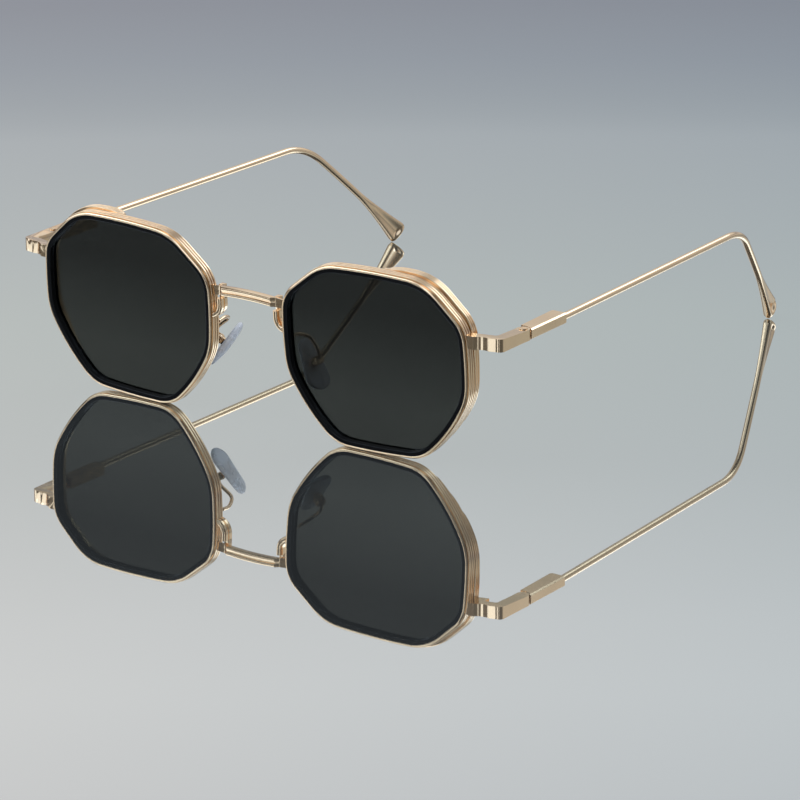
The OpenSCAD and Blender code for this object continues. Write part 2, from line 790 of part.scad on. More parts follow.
module screw(shaft, low, high, head, head_high) {
  difference() {
    union() {
      translate([0, 0, low]) cylinder(r = shaft, h = high - low + fit_gap, $fn = round_facets);
      translate([0, 0, high]) cylinder(r = head, h = head_high, $fn = round_facets);
    }
    translate([-2 * head, -driver_slot / 2, high + head_high - driver_deep])
      cube([4 * head, driver_slot, 2 * driver_deep]);
  }
}

module hinge_screw() {
  seat = arm_tall_hinge / 2 - head_sunk + fit_gap;
  color(gold) at_pin() screw(pin_radius, -arm_tall_hinge / 2, seat, head_radius, head_tall);
}

// Rim lock behind the end piece, closed by a small screw from above
lock_out = arm_rim_out + rim_band + tier_out + lock_wide;
lock_spot = [lock_out - lock_wide / 2, arm_rear(lock_out - lock_wide / 2) + lock_thick / 2, 0];

module rim_lock() {
  color(gold) difference() {
    at_level() difference() {
      translate([0, 0, -arm_tall / 2]) linear_extrude(lock_tall) polygon([
        [arm_rim_out, arm_rear(arm_rim_out) + fit_gap],
        [lock_out, arm_rear(lock_out) + fit_gap],
        [lock_out, arm_rear(lock_out) + lock_thick],
        [arm_rim_out, arm_rear(arm_rim_out) + lock_thick]
      ]);
      translate(lock_spot)
        cylinder(r = lock_pin + fit_gap, h = 2 * arm_tall, center = true, $fn = round_facets);
    }
    rim_space(fit_gap);
  }
}

module lock_screw() {
  color(gold) at_level() translate(lock_spot)
    screw(lock_pin, -arm_tall / 2, lock_tall - arm_tall / 2 + fit_gap, lock_head, lock_head_tall);
}

// Hinge block of the temple, with its tongue between the ears and a socket for the wire
module block_body() {
  block_front = ear_radius + block_gap;
  intersection() {
    translate([0, 0, -block_tall]) linear_extrude(2 * block_tall) polygon([
      [0, cheek_start],
      [block_out, cheek_start],
      [block_out, block_long],
      [-block_in_back + block_cut, block_long],
      [-block_in_back, block_long - block_cut],
      [-block_in, block_front],
      [0, block_front]
    ]);
    translate([0, block_long + past, 0]) rotate([90, 0, 0])
      linear_extrude(block_long + 2 * past) polygon([
        [-block_in_back - past, -block_tall / 2],
        [block_out - block_bevel, -block_tall / 2],
        [block_out, -block_tall / 2 + block_bevel],
        [block_out, block_tall / 2 - block_bevel],
        [block_out - block_bevel, block_tall / 2],
        [-block_in_back - past, block_tall / 2]
      ]);
  }
}

module temple_block() {
  color(gold) at_pin() difference() {
    union() {
      difference() {
        block_body();
        for (side = [-1, 1])
          translate([0, 0, side * (tongue_thick + block_tall) / 2])
            cylinder(
              r = ear_radius + hinge_clear, h = block_tall, center = true, $fn = round_facets
            );
      }
      translate([0, 0, -tongue_thick / 2])
        cylinder(r = tongue_radius, h = tongue_thick, $fn = round_facets);
      translate([-tongue_neck / 2, 0, -tongue_thick / 2])
        cube([tongue_neck, ear_radius + block_gap + past, tongue_thick]);
    }
    cylinder(r = pin_radius + pin_clear, h = 2 * tongue_thick, center = true, $fn = round_facets);
    translate([wire_out, block_long - wire_socket - fit_gap, 0])
      rotate([-90 - dive_straight, 0, inward_straight])
        cylinder(r = wire_radius + fit_gap, h = wire_socket + past, $fn = round_facets);
  }
}

// Temple wire: straight, bent behind the ear, and flared into a dished tip with a raised end
function flare_share(along) = share_between(along, tail_long - flare_long, tail_long);
function flare_half(i) =
  let (
    tip_from = bend_steps + tail_steps + 1,
    share = flare_share((i - bend_steps - 1) * tail_long / tail_steps),
    rounded = i <= tip_from + 1 ? 0 : i == tip_from + 2 ? 1 - sin(45) : 1,
    lobe = mix(wire_radius, tip_thick / 2 / sin(45), share ^ 1.5)
  )
  [
    mix(wire_radius, tip_wide / 2, share ^ 1.5) - rounded * tip_round,
    lobe - rounded * tip_round,
    (i > tip_from ? lobe : mix(wire_radius, tip_waist / 2, share)) - rounded * tip_round
  ];

module temple_wire() {
  halves = [for (i = [0:len(wire_route) - 1]) flare_half(i)];
  color(gold) at_pin() swept_tube(wire_route, halves, wire_sides, [0, 0, 1]);
}

// Points on a smooth curve through every given point
function curve_point(a, b, c, d, t) =
  0.5 * ((2 * b) + (c - a) * t + (2 * a - 5 * b + 4 * c - d) * t ^ 2 + (3 * b - a - 3 * c + d) * t ^ 3);
function smooth_route(points, steps) =
  let (last = len(points) - 1)
  concat(
    [
      for (i = [0:last - 1], k = [0:steps - 1])
        curve_point(
          points[max(i - 1, 0)], points[i], points[i + 1], points[min(i + 2, last)], k / steps
        )
    ],
    [points[last]]
  );

// Pad arm: a wire soldered to the back of the rim that loops back to the pad box
box_half = lug_thick / 2 + hinge_clear + cheek_thick;
box_base = lug_radius + 2 * hinge_clear;
arm_root = lens_to_front([-reach_nose - rim_band / 2, rim_depth + fit_gap, -arm_foot_down]);
arm_end = pad_to_front([box_base + cheek_thick / 2, 0, 0]);
arm_lead = pad_to_front([box_base + 2 * arm_wire, 0, 2 * lug_radius]);
arm_rise = arm_root + [arm_rise_out, arm_rise_back, 0];
arm_crest = arm_root + [arm_crest_out, arm_crest_back, -arm_crest_down];

module pad_arm() {
  route = smooth_route([arm_root, arm_rise, arm_crest, arm_lead, arm_end], arc_steps);
  color(gold) on_front()
    swept_tube(route, [for (point = route) arm_wire * [1, 1, 1]], arm_sides, [1, 0, 0]);
  color(gold) at_pad() difference() {
    union() {
      rotate([90, 0, 0]) cylinder(r = lug_radius, h = 2 * box_half, center = true, $fn = round_facets);
      translate([0, -box_half, -lug_tall / 2])
        cube([box_base + cheek_thick, 2 * box_half, lug_tall]);
    }
    translate([-2 * lug_radius, -lug_thick / 2 - hinge_clear, -2 * lug_radius])
      cube([2 * lug_radius + box_base, lug_thick + 2 * hinge_clear, 4 * lug_radius]);
    rotate([90, 0, 0])
      cylinder(r = pad_pin + fit_gap, h = 4 * box_half, center = true, $fn = round_facets);
  }
}

module pad_screw() {
  color(gold) at_pad() rotate([90, 0, 0])
    screw(pad_pin, -box_half, box_half + fit_gap, pad_head, pad_head_tall);
}

// Core of the pad: a plate inside the pad and a lug that turns on the pad screw
module pad_core() {
  color(gold) at_pad() difference() {
    union() {
      rotate([90, 0, 0]) cylinder(r = lug_radius, h = lug_thick, center = true, $fn = round_facets);
      translate([-pad_gap - core_plate, -lug_thick / 2, -lug_tall / 2])
        cube([pad_gap + core_plate, lug_thick, lug_tall]);
      translate([-pad_gap - 2 * core_plate, -core_wide / 2, -core_tall / 2])
        cube([core_plate, core_wide, core_tall]);
    }
    rotate([90, 0, 0])
      cylinder(r = pad_pin + pin_clear, h = 2 * lug_thick, center = true, $fn = round_facets);
  }
}

// Outline of a pad: two end circles joined by their common tangents
function pad_outline() =
  let (
    low = pad_wide / 2,
    high = pad_narrow / 2,
    span = pad_long - low - high,
    slant = asin((low - high) / span)
  )
  concat(
    arc_points([0, -pad_long / 2 + low], low, 180 - slant, 360 + slant, end_steps),
    arc_points([0, pad_long / 2 - high], high, slant, 180 - slant, end_steps)
  );

module nose_pad() {
  color(clear_pad) at_pad() difference() {
    intersection() {
      translate([-pad_gap, 0, 0]) rotate([90, 0, -90])
        linear_extrude(pad_thick) polygon(pad_outline());
      translate([pad_dome - pad_gap - pad_thick, 0, 0]) sphere(pad_dome, $fn = 4 * round_facets);
    }
    translate([-pad_gap - core_plate - fit_gap, -lug_thick / 2 - fit_gap, -lug_tall / 2 - fit_gap])
      cube([pad_gap + core_plate, lug_thick + 2 * fit_gap, lug_tall + 2 * fit_gap]);
    translate([
      -pad_gap - 2 * core_plate - fit_gap,
      -core_wide / 2 - fit_gap,
      -core_tall / 2 - fit_gap
    ])
      cube([core_plate + 2 * fit_gap, core_wide + 2 * fit_gap, core_tall + 2 * fit_gap]);
  }
}

rim();  // rim_right
opposite() rim();  // rim_left
liner();  // liner_right
opposite() liner();  // liner_left
lens();  // lens_right
opposite() lens();  // lens_left
bridge_bar();
bridge_bracket();  // bridge_bracket_right
opposite() bridge_bracket();  // bridge_bracket_left
end_piece();  // end_piece_right
opposite() end_piece();  // end_piece_left
rim_lock();  // rim_lock_right
opposite() rim_lock();  // rim_lock_left
lock_screw();  // lock_screw_right
opposite() lock_screw();  // lock_screw_left
hinge_screw();  // hinge_screw_right
opposite() hinge_screw();  // hinge_screw_left
pad_arm();  // pad_arm_right
opposite() pad_arm();  // pad_arm_left
pad_core();  // pad_core_right
opposite() pad_core();  // pad_core_left
pad_screw();  // pad_screw_right
opposite() pad_screw();  // pad_screw_left
nose_pad();  // nose_pad_right
opposite() nose_pad();  // nose_pad_left
temple_block();  // temple_block_right
opposite() temple_block();  // temple_block_left
temple_wire();  // temple_wire_right
opposite() temple_wire();  // temple_wire_left
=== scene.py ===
import math
import bmesh
import bpy
from mathutils import Matrix, Vector


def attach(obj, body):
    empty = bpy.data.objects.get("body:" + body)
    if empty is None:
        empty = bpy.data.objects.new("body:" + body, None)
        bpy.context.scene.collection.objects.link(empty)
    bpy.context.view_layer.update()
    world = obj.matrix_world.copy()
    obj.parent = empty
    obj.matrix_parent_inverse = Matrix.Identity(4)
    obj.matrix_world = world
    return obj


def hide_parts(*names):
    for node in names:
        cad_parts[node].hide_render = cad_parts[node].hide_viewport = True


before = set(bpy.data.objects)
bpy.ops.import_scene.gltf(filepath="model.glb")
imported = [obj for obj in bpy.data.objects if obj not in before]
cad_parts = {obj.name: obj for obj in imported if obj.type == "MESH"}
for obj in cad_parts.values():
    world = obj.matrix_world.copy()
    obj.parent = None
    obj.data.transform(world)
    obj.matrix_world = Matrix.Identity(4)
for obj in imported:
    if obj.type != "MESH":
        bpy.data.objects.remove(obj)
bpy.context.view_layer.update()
mm = 0.001
sides = ("right", "left")
scene = bpy.context.scene

# places, in mm, as in the construction
place = {
    "lensApart": 71.9,
    "frontLean": 3.0,
    "lensWrap": 1.5,
    "frontBack": -70.6059,  # front plane along Y
    "lensHeight": 23.9022,
    "hingePin": (68.35, -57.7059, 32.1022),
    "padPivot": (14.4, 7.5, -7.3),  # from the front plane
    "padLean": 34.5,
    "padRake": 15.0,
    "padSplay": 14.0,
}


def turn(degrees, axis):
    return Matrix.Rotation(math.radians(degrees), 4, axis)


def shift(x, y, z):
    return Matrix.Translation((x, y, z))


toMetres = Matrix.Scale(mm, 4)
frontFrame = shift(0, place["frontBack"], place["lensHeight"]) @ turn(place["frontLean"], "X")
lensFrame = frontFrame @ shift(place["lensApart"] / 2, 0, 0) @ turn(place["lensWrap"], "Z")
pinFrame = shift(*place["hingePin"])
padFrame = (
    frontFrame @ shift(*place["padPivot"])
    @ turn(-place["padLean"], "Y") @ turn(-place["padRake"], "X") @ turn(-place["padSplay"], "Z")
)
lensToFront = frontFrame.inverted() @ lensFrame
padToFront = frontFrame.inverted() @ padFrame


def mix(a, b, share):
    return a + (b - a) * share


def clamp(value, low=0.0, high=1.0):
    return max(low, min(high, value))


# node trees
def addSockets(tree, inputs):
    # an input for each value, of the kind that the value has
    kinds = {float: "NodeSocketFloat", int: "NodeSocketInt", tuple: "NodeSocketColor"}
    for label, value in inputs.items():
        socket = tree.interface.new_socket(label, in_out="INPUT", socket_type=kinds[type(value)])
        socket.default_value = value


def newGroup(name, inputs, kind, *outputs):
    group = bpy.data.node_groups.new(name, "ShaderNodeTree")
    addSockets(group, inputs)
    for label in outputs:
        group.interface.new_socket(label, in_out="OUTPUT", socket_type=kind)
    return group, group.nodes.new("NodeGroupInput").outputs, group.nodes.new("NodeGroupOutput")


def setInputs(tree, node, inputs):
    # each input by its label or number, as a plain value or as a link
    for label, value in inputs.items():
        if isinstance(value, bpy.types.NodeSocket):
            tree.links.new(value, node.inputs[label])
        else:
            node.inputs[label].default_value = value


def addNode(tree, kind, inputs=None, **values):
    node = tree.nodes.new(kind)
    for label, value in values.items():
        setattr(node, label, value)
    setInputs(tree, node, inputs or {})
    return node


def addMath(tree, operation, *inputs, **values):
    return addNode(tree, "ShaderNodeMath", dict(enumerate(inputs)), operation=operation, **values).outputs[0]


def addMix(tree, factor, first, second, blendType="MIX"):
    inputs = {"Factor": factor, "A": first, "B": second}
    return addNode(tree, "ShaderNodeMix", inputs, data_type="RGBA", blend_type=blendType).outputs["Result"]


def addNoise(tree, scale, detail, stretch=(1, 1, 1)):
    where = addNode(tree, "ShaderNodeTexCoord").outputs["Object"]
    mapping = addNode(tree, "ShaderNodeMapping", {"Vector": where, "Scale": stretch})
    inputs = {"Vector": mapping.outputs[0], "Scale": scale, "Detail": detail}
    return addNode(tree, "ShaderNodeTexNoise", inputs).outputs["Fac"]


def spread(tree, value, low, high, outLow=0.0, outHigh=1.0):
    inputs = {"Value": value, "From Min": low, "From Max": high, "To Min": outLow, "To Max": outHigh}
    return addNode(tree, "ShaderNodeMapRange", inputs).outputs["Result"]


# shader groups and materials
wearSettings = {
    "smudgeRange": (0.42, 0.68),  # parts of the noise that fade in as a smudge and as a scratch
    "scratchRange": (0.45, 0.62),
    "scratchStretch": (1.0, 0.12, 0.4),
    "scratchRough": 0.02,
    "toneRange": (0.3, 0.7),
    "dullTone": (0.5, 0.47, 0.44, 1),
}


def buildHandling():
    # smudges from handling and hairline scratches, shared by every finish
    group, given, out = newGroup("handling", {
        "Roughness": 0.12,
        "Smudge": 0.05,
        "Smudge Scale": 90.0,
        "Scratch Height": 0.3,
        "Scratch Scale": 900.0,
    }, "NodeSocketFloat", "Roughness", "Height", "Smudge")
    cloud = addNoise(group, given["Smudge Scale"], 4)
    smudge = spread(group, cloud, *wearSettings["smudgeRange"])
    fine = addNoise(group, given["Scratch Scale"], 2, wearSettings["scratchStretch"])
    scratch = spread(group, fine, *wearSettings["scratchRange"])
    rough = addMath(group, "ADD", given["Roughness"], addMath(group, "MULTIPLY", smudge, given["Smudge"]))
    scratchRough = addMath(group, "MULTIPLY", scratch, wearSettings["scratchRough"])
    setInputs(group, out, {
        "Roughness": addMath(group, "ADD", rough, scratchRough, use_clamp=True),
        "Height": addMath(group, "MULTIPLY", scratch, given["Scratch Height"]),
        "Smudge": smudge,
    })
    return group


def buildTint():
    # slow drift between two tones of one finish, darker where smudged
    group, given, out = newGroup("toneDrift", {
        "Tone A": (1, 1, 1, 1),
        "Tone B": (1, 1, 1, 1),
        "Scale": 40.0,
        "Smudge": 0.0,
        "Dulling": 0.05,
    }, "NodeSocketColor", "Color")
    drift = spread(group, addNoise(group, given["Scale"], 3), *wearSettings["toneRange"])
    tone = addMix(group, drift, given["Tone A"], given["Tone B"])
    dulling = addMath(group, "MULTIPLY", given["Smudge"], given["Dulling"])
    setInputs(group, out, {"Color": addMix(group, dulling, tone, wearSettings["dullTone"], "MULTIPLY")})
    return group


def addShade(tree, colour, values):
    # deepens a tint from a low height to a high one, in metres
    where = addNode(tree, "ShaderNodeTexCoord").outputs["Object"]
    split = addNode(tree, "ShaderNodeSeparateXYZ", {0: where})
    height = spread(tree, split.outputs["Z"], values["Low"], values["High"])
    return addMix(tree, height, colour, (values["Depth"], values["Depth"], values["Depth"], 1), "MULTIPLY")


handlingGroup = buildHandling()
tintGroup = buildTint()


def makeFinish(name, settings):
    material = bpy.data.materials.new(name)
    material.use_nodes = True
    tree = material.node_tree
    handling = addNode(tree, "ShaderNodeGroup", settings["handling"], node_tree=handlingGroup).outputs
    tint = addNode(tree, "ShaderNodeGroup", settings["tint"], node_tree=tintGroup)
    setInputs(tree, tint, {"Smudge": handling["Smudge"]})
    colour = tint.outputs["Color"]
    if "shade" in settings:
        colour = addShade(tree, colour, settings["shade"])
    bump = addNode(tree, "ShaderNodeBump", dict(settings["bump"], Height=handling["Height"]))
    setInputs(tree, tree.nodes["Principled BSDF"], {
        "Base Color": colour, "Roughness": handling["Roughness"], "Normal": bump.outputs["Normal"],
        **settings["shader"],
    })
    return material


goldSettings = {
    "handling": {"Roughness": 0.13, "Smudge": 0.04, "Smudge Scale": 110.0, "Scratch Height": 0.4},
    "tint": {
        "Tone A": (0.95, 0.69, 0.44, 1),
        "Tone B": (0.92, 0.65, 0.4, 1),
        "Scale": 45.0,
        "Dulling": 0.12,
    },
    "bump": {"Strength": 0.12, "Distance": 0.00002},
    "shader": {"Metallic": 1.0},
}
linerSettings = {
    "handling": {"Roughness": 0.05, "Smudge": 0.04, "Smudge Scale": 160.0, "Scratch Height": 0.3},
    "tint": {
        "Tone A": (0.004, 0.004, 0.0045, 1),
        "Tone B": (0.007, 0.007, 0.0075, 1),
        "Scale": 60.0,
        "Dulling": 0.2,
    },
    "bump": {"Strength": 0.1, "Distance": 0.00002},
    "shader": {"IOR": 1.33, "Specular IOR Level": 0.35},
}
lensSettings = {
    "handling": {"Roughness": 0.0, "Smudge": 0.02, "Smudge Scale": 45.0, "Scratch Height": 0.1},
    "tint": {
        "Tone A": (0.064, 0.069, 0.065, 1),
        "Tone B": (0.07, 0.076, 0.071, 1),
        "Scale": 25.0,
        "Dulling": 0.06,
    },
    "bump": {"Strength": 0.02, "Distance": 0.00001},
    "shader": {"Transmission Weight": 1.0, "IOR": 1.5, "Metallic": 0.0},
    "shade": {"Low": 0.012, "High": 0.034, "Depth": 0.42},  # the tint is denser above than below
}
padSettings = {
    "handling": {"Roughness": 0.24, "Smudge": 0.12, "Smudge Scale": 260.0, "Scratch Height": 0.3},
    "tint": {
        "Tone A": (0.93, 0.95, 1.0, 1),
        "Tone B": (0.87, 0.9, 0.98, 1),
        "Scale": 160.0,
        "Dulling": 0.1,
    },
    "bump": {"Strength": 0.1, "Distance": 0.00003},
    "shader": {"Transmission Weight": 0.32, "IOR": 1.41, "Metallic": 0.0},
}
finishes = {
    "gold_metal": makeFinish("polishedGold", goldSettings),
    "black_liner": makeFinish("blackLiner", linerSettings),
    "grey_lens": makeFinish("greyLens", lensSettings),
    "clear_pad": makeFinish("clearPad", padSettings),
}
print("materials ready")


# mesh helpers
def finishMesh(mesh, slotName, angle):
    # one material, smooth, with the edges over an angle kept sharp
    mesh.materials.clear()
    mesh.materials.append(finishes[slotName])
    for face in mesh.polygons:
        face.use_smooth = True
        face.material_index = 0
    mesh.set_sharp_from_angle(angle=math.radians(angle))
    mesh.update()


def placeMesh(mesh, matrix, side):
    # built on the right in mm; the left is its mirror image
    whole = toMetres @ matrix
    if side == "left":
        whole = Matrix.Scale(-1, 4, (1, 0, 0)) @ whole
    mesh.transform(whole)
    if side == "left":
        mesh.flip_normals()


def addPiece(node, ending, mesh, body):
    # a visible piece in place of the node of the same name
    piece = bpy.data.objects.new(node + ending, mesh)
    scene.collection.objects.link(piece)
    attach(piece, body)
    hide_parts(node)


def addPart(node, ending, mesh, slotName, angle, matrix, side, body="front"):
    finishMesh(mesh, slotName, angle)
    placeMesh(mesh, matrix, side)
    addPiece(node, ending, mesh, body)


def meshOf(verts, faces, name="mesh"):
    mesh = bpy.data.meshes.new(name)
    mesh.from_pydata([tuple(v) for v in verts], [], faces)
    mesh.update()
    return mesh


def fixedOutwards(mesh, distance=1e-5):
    work = bmesh.new()
    work.from_mesh(mesh)
    bmesh.ops.remove_doubles(work, verts=work.verts, dist=distance)
    bmesh.ops.dissolve_degenerate(work, edges=work.edges, dist=distance)
    bmesh.ops.recalc_face_normals(work, faces=work.faces)
    work.to_mesh(mesh)
    work.free()


def evaluatedMesh(holder):
    # the plain mesh that an object's modifiers make; the object itself is dropped
    bpy.context.view_layer.update()
    evaluated = holder.evaluated_get(bpy.context.evaluated_depsgraph_get())
    done = bpy.data.meshes.new_from_object(evaluated)
    bpy.data.objects.remove(holder)
    return done


def withModifiers(mesh, *modifiers):
    # a plain mesh with the given modifiers applied
    holder = bpy.data.objects.new("holder", mesh)
    scene.collection.objects.link(holder)
    for kind, values in modifiers:
        modifier = holder.modifiers.new(kind, kind)
        for label, value in values.items():
            setattr(modifier, label, value)
    return evaluatedMesh(holder)


def bevel(width, segments, angle):
    return "BEVEL", {
        "width": width, "segments": segments, "limit_method": "ANGLE", "angle_limit": math.radians(angle),
    }


def flatNormals(weight):
    # the flat faces keep their own normals, so that only the narrow edges turn the light
    return "WEIGHTED_NORMAL", {"weight": weight, "thresh": 0.01, "keep_sharp": True}


def softened(points, radii, steps=4):
    # closed outline with its corners rounded, each by its own radius
    result = []
    count = len(points)
    for i, (corner, radius) in enumerate(zip(points, radii)):
        here = Vector(corner)
        before = Vector(points[i - 1]) - here
        after = Vector(points[(i + 1) % count]) - here
        reach = min(before.length, after.length) * 0.49
        half = before.angle(after) / 2
        if radius <= 0 or half > math.radians(88):
            result.append(tuple(here))
            continue
        cut = min(radius / math.tan(half), reach)
        start = here + before.normalized() * cut
        end = here + after.normalized() * cut
        for k in range(steps + 1):
            t = k / steps
            result.append(tuple((1 - t) ** 2 * start + 2 * t * (1 - t) * here + t ** 2 * end))
    return result


def sweepRings(rings, closedPath=False, caps=True):
    # faces between rings of equal length
    verts = [v for ring in rings for v in ring]
    size = len(rings[0])
    faces = []
    spans = len(rings) if closedPath else len(rings) - 1
    for i in range(spans):
        a = i * size
        b = ((i + 1) % len(rings)) * size
        for k in range(size):
            n = (k + 1) % size
            faces.append((a + k, b + k, b + n, a + n))
    if caps and not closedPath:
        faces.append(tuple(range(size)))
        faces.append(tuple(reversed(range((len(rings) - 1) * size, len(rings) * size))))
    return verts, faces


def solidOf(rings, distance=1e-5, closedPath=False):
    mesh = meshOf(*sweepRings(rings, closedPath))
    fixedOutwards(mesh, distance)
    return mesh


# lens outline
outline = {
    "reachTemple": 24.7,
    "reachTop": 20.2,
    "reachNose": 24.9,
    "reachBottom": 23.1,
    "cuts": (7.24, 7.35, 9.19, 9.53),  # upper temple, upper nose, lower nose, lower temple
    "faces": (0, 48, 91, 128, 183, 217, 272, 323),
    "bows": (100, 315, 180, 315, 100, 45, 180, 45),
    "corners": (8, 13, 13, 8, 14, 9.5, 9.5, 14),
    "edgeSteps": 10,
    "cornerSteps": 12,
}


def polar(radius, bearing):
    angle = math.radians(bearing)
    return Vector((radius * math.cos(angle), radius * math.sin(angle)))


def slantReach(side, level, face, cut):
    angle = math.radians(face)
    return side * abs(math.cos(angle)) + level * abs(math.sin(angle)) - cut


def outlineArcs():
    faces = outline["faces"]
    temple, top = outline["reachTemple"], outline["reachTop"]
    nose, bottom = outline["reachNose"], outline["reachBottom"]
    cuts = outline["cuts"]
    reach = [
        temple, slantReach(temple, top, faces[1], cuts[0]),
        top, slantReach(nose, top, faces[3], cuts[1]),
        nose, slantReach(nose, bottom, faces[5], cuts[2]),
        bottom, slantReach(temple, bottom, faces[7], cuts[3]),
    ]
    bows, corners = outline["bows"], outline["corners"]
    middles = [polar(reach[i] - bows[i], faces[i]) for i in range(8)]
    centres = []
    for i in range(8):
        j = (i + 1) % 8
        first, second = bows[i] - corners[i], bows[j] - corners[i]
        between = middles[j] - middles[i]
        apart = between.length
        along = (first ** 2 - second ** 2 + apart ** 2) / (2 * apart)
        across = math.sqrt(first ** 2 - along ** 2)
        way = between / apart
        side = Vector((-way.y, way.x)) * across
        outward = polar(1, faces[i]) + polar(1, faces[j])
        centres.append(middles[i] + way * along + (side if side.dot(outward) > 0 else -side))

    def bearing(start, end, near):
        angle = math.degrees(math.atan2(end.y - start.y, end.x - start.x))
        return near + (angle - near + 540) % 360 - 180

    arcs = []
    for i in range(8):
        j = (i + 1) % 8
        nextFace = faces[j] + (360 if j == 0 else 0)
        start = bearing(middles[i], centres[i - 1], faces[i])
        turned = bearing(middles[i], centres[i], faces[i])
        end = bearing(middles[j], centres[i], nextFace)
        arcs.append((middles[i], bows[i], start, turned, outline["edgeSteps"]))
        arcs.append((centres[i], corners[i], turned, end, outline["cornerSteps"]))
    return arcs


def outlineWays():
    # points of the opening with their outward directions
    result = []
    for middle, radius, start, end, steps in outlineArcs():
        for k in range(steps):
            way = polar(1, mix(start, end, k / steps))
            result.append((middle + way * radius, way))
    return result


openingWays = outlineWays()


def beside(spot, way, out, depth):
    # a point at a distance outside the opening and a depth behind the front plane of the rim
    return Vector((spot.x + way.x * out, depth, spot.y + way.y * out))


# rim: the ridged front tier is swept by Geometry Nodes
rimGap = 0.02  # between the rim and what stands against it
rimDepths = (-2, 8)  # between which a place for the rim is cut
ridgePoints = 21  # points over the lip and over each ridge
rimSizes = {
    "Rim Depth": 3.2,
    "Lip Band": 0.55,
    "Lip Depth": 0.5,
    "Neck Band": 0.42,
    "Neck Depth": 0.3,
    "Ridge Band": 0.8,
    "Ridge Count": 3,
    "Ridge Share": 0.76,
    "Roundness": 0.42,
    "Lip Slope": 0.13,
    "Lip Inside": 0.15,
    "Lip Dome": 1.5,
}
tierSizes = {
    "depth": 2.0,
    "out": 0.3,  # how far it stands out and up at the brow
    "up": 0.53,
    "count": 3,
    "groove": 0.24,
    "share": 0.78,
    "start": 1.0,  # where it begins on the top edge, and over what length it rises
    "rise": 2.8,
    "fade": 14.8,  # how it fades out below the temple side
    "fadeEnd": -6.6,
    "fadeFace": 49.0,
    "reach": 0.7,  # how far outside the opening its depth is read
    "inFront": 0.14,  # how far it runs into the front tier
    "ridgeSteps": 16,
    "squareness": 8,  # how flat the tops of its ridges are
    "least": 0.005,  # share of its depth below which it isn't built
    "sharpFrom": 50,
}


class treeMaker:
    # short calls for a Geometry Nodes tree
    def __init__(self, name, inputs):
        self.tree = bpy.data.node_groups.new(name, "GeometryNodeTree")
        face = self.tree.interface
        face.new_socket("Geometry", in_out="INPUT", socket_type="NodeSocketGeometry")
        addSockets(self.tree, inputs)
        face.new_socket("Material", in_out="INPUT", socket_type="NodeSocketMaterial")
        face.new_socket("Geometry", in_out="OUTPUT", socket_type="NodeSocketGeometry")
        self.given = self.tree.nodes.new("NodeGroupInput").outputs
        self.out = self.tree.nodes.new("NodeGroupOutput")

    def add(self, kind, inputs=None, **values):
        return addNode(self.tree, kind, inputs, **values)

    def calc(self, operation, *inputs):
        return addMath(self.tree, operation, *inputs)

    def pick(self, switch, ifFalse, ifTrue):
        inputs = {"Switch": switch, "False": ifFalse, "True": ifTrue}
        return self.add("GeometryNodeSwitch", inputs, input_type="FLOAT").outputs[0]

    def circle(self, resolution, radius):
        inputs = {"Resolution": resolution, "Radius": radius}
        return self.add("GeometryNodeCurvePrimitiveCircle", inputs, mode="RADIUS").outputs["Curve"]

    def sweep(self, profile):
        # the tree's last steps: the profile along the given path, as real geometry with its material
        inputs = {"Curve": self.given["Geometry"], "Profile Curve": profile, "Fill Caps": True}
        swept = self.add("GeometryNodeCurveToMesh", inputs).outputs[0]
        real = self.add("GeometryNodeRealizeInstances", {"Geometry": swept}).outputs[0]
        finished = {"Geometry": real, "Material": self.given["Material"]}
        coloured = self.add("GeometryNodeSetMaterial", finished)
        setInputs(self.tree, self.out, {"Geometry": coloured.outputs[0]})
        return self.tree


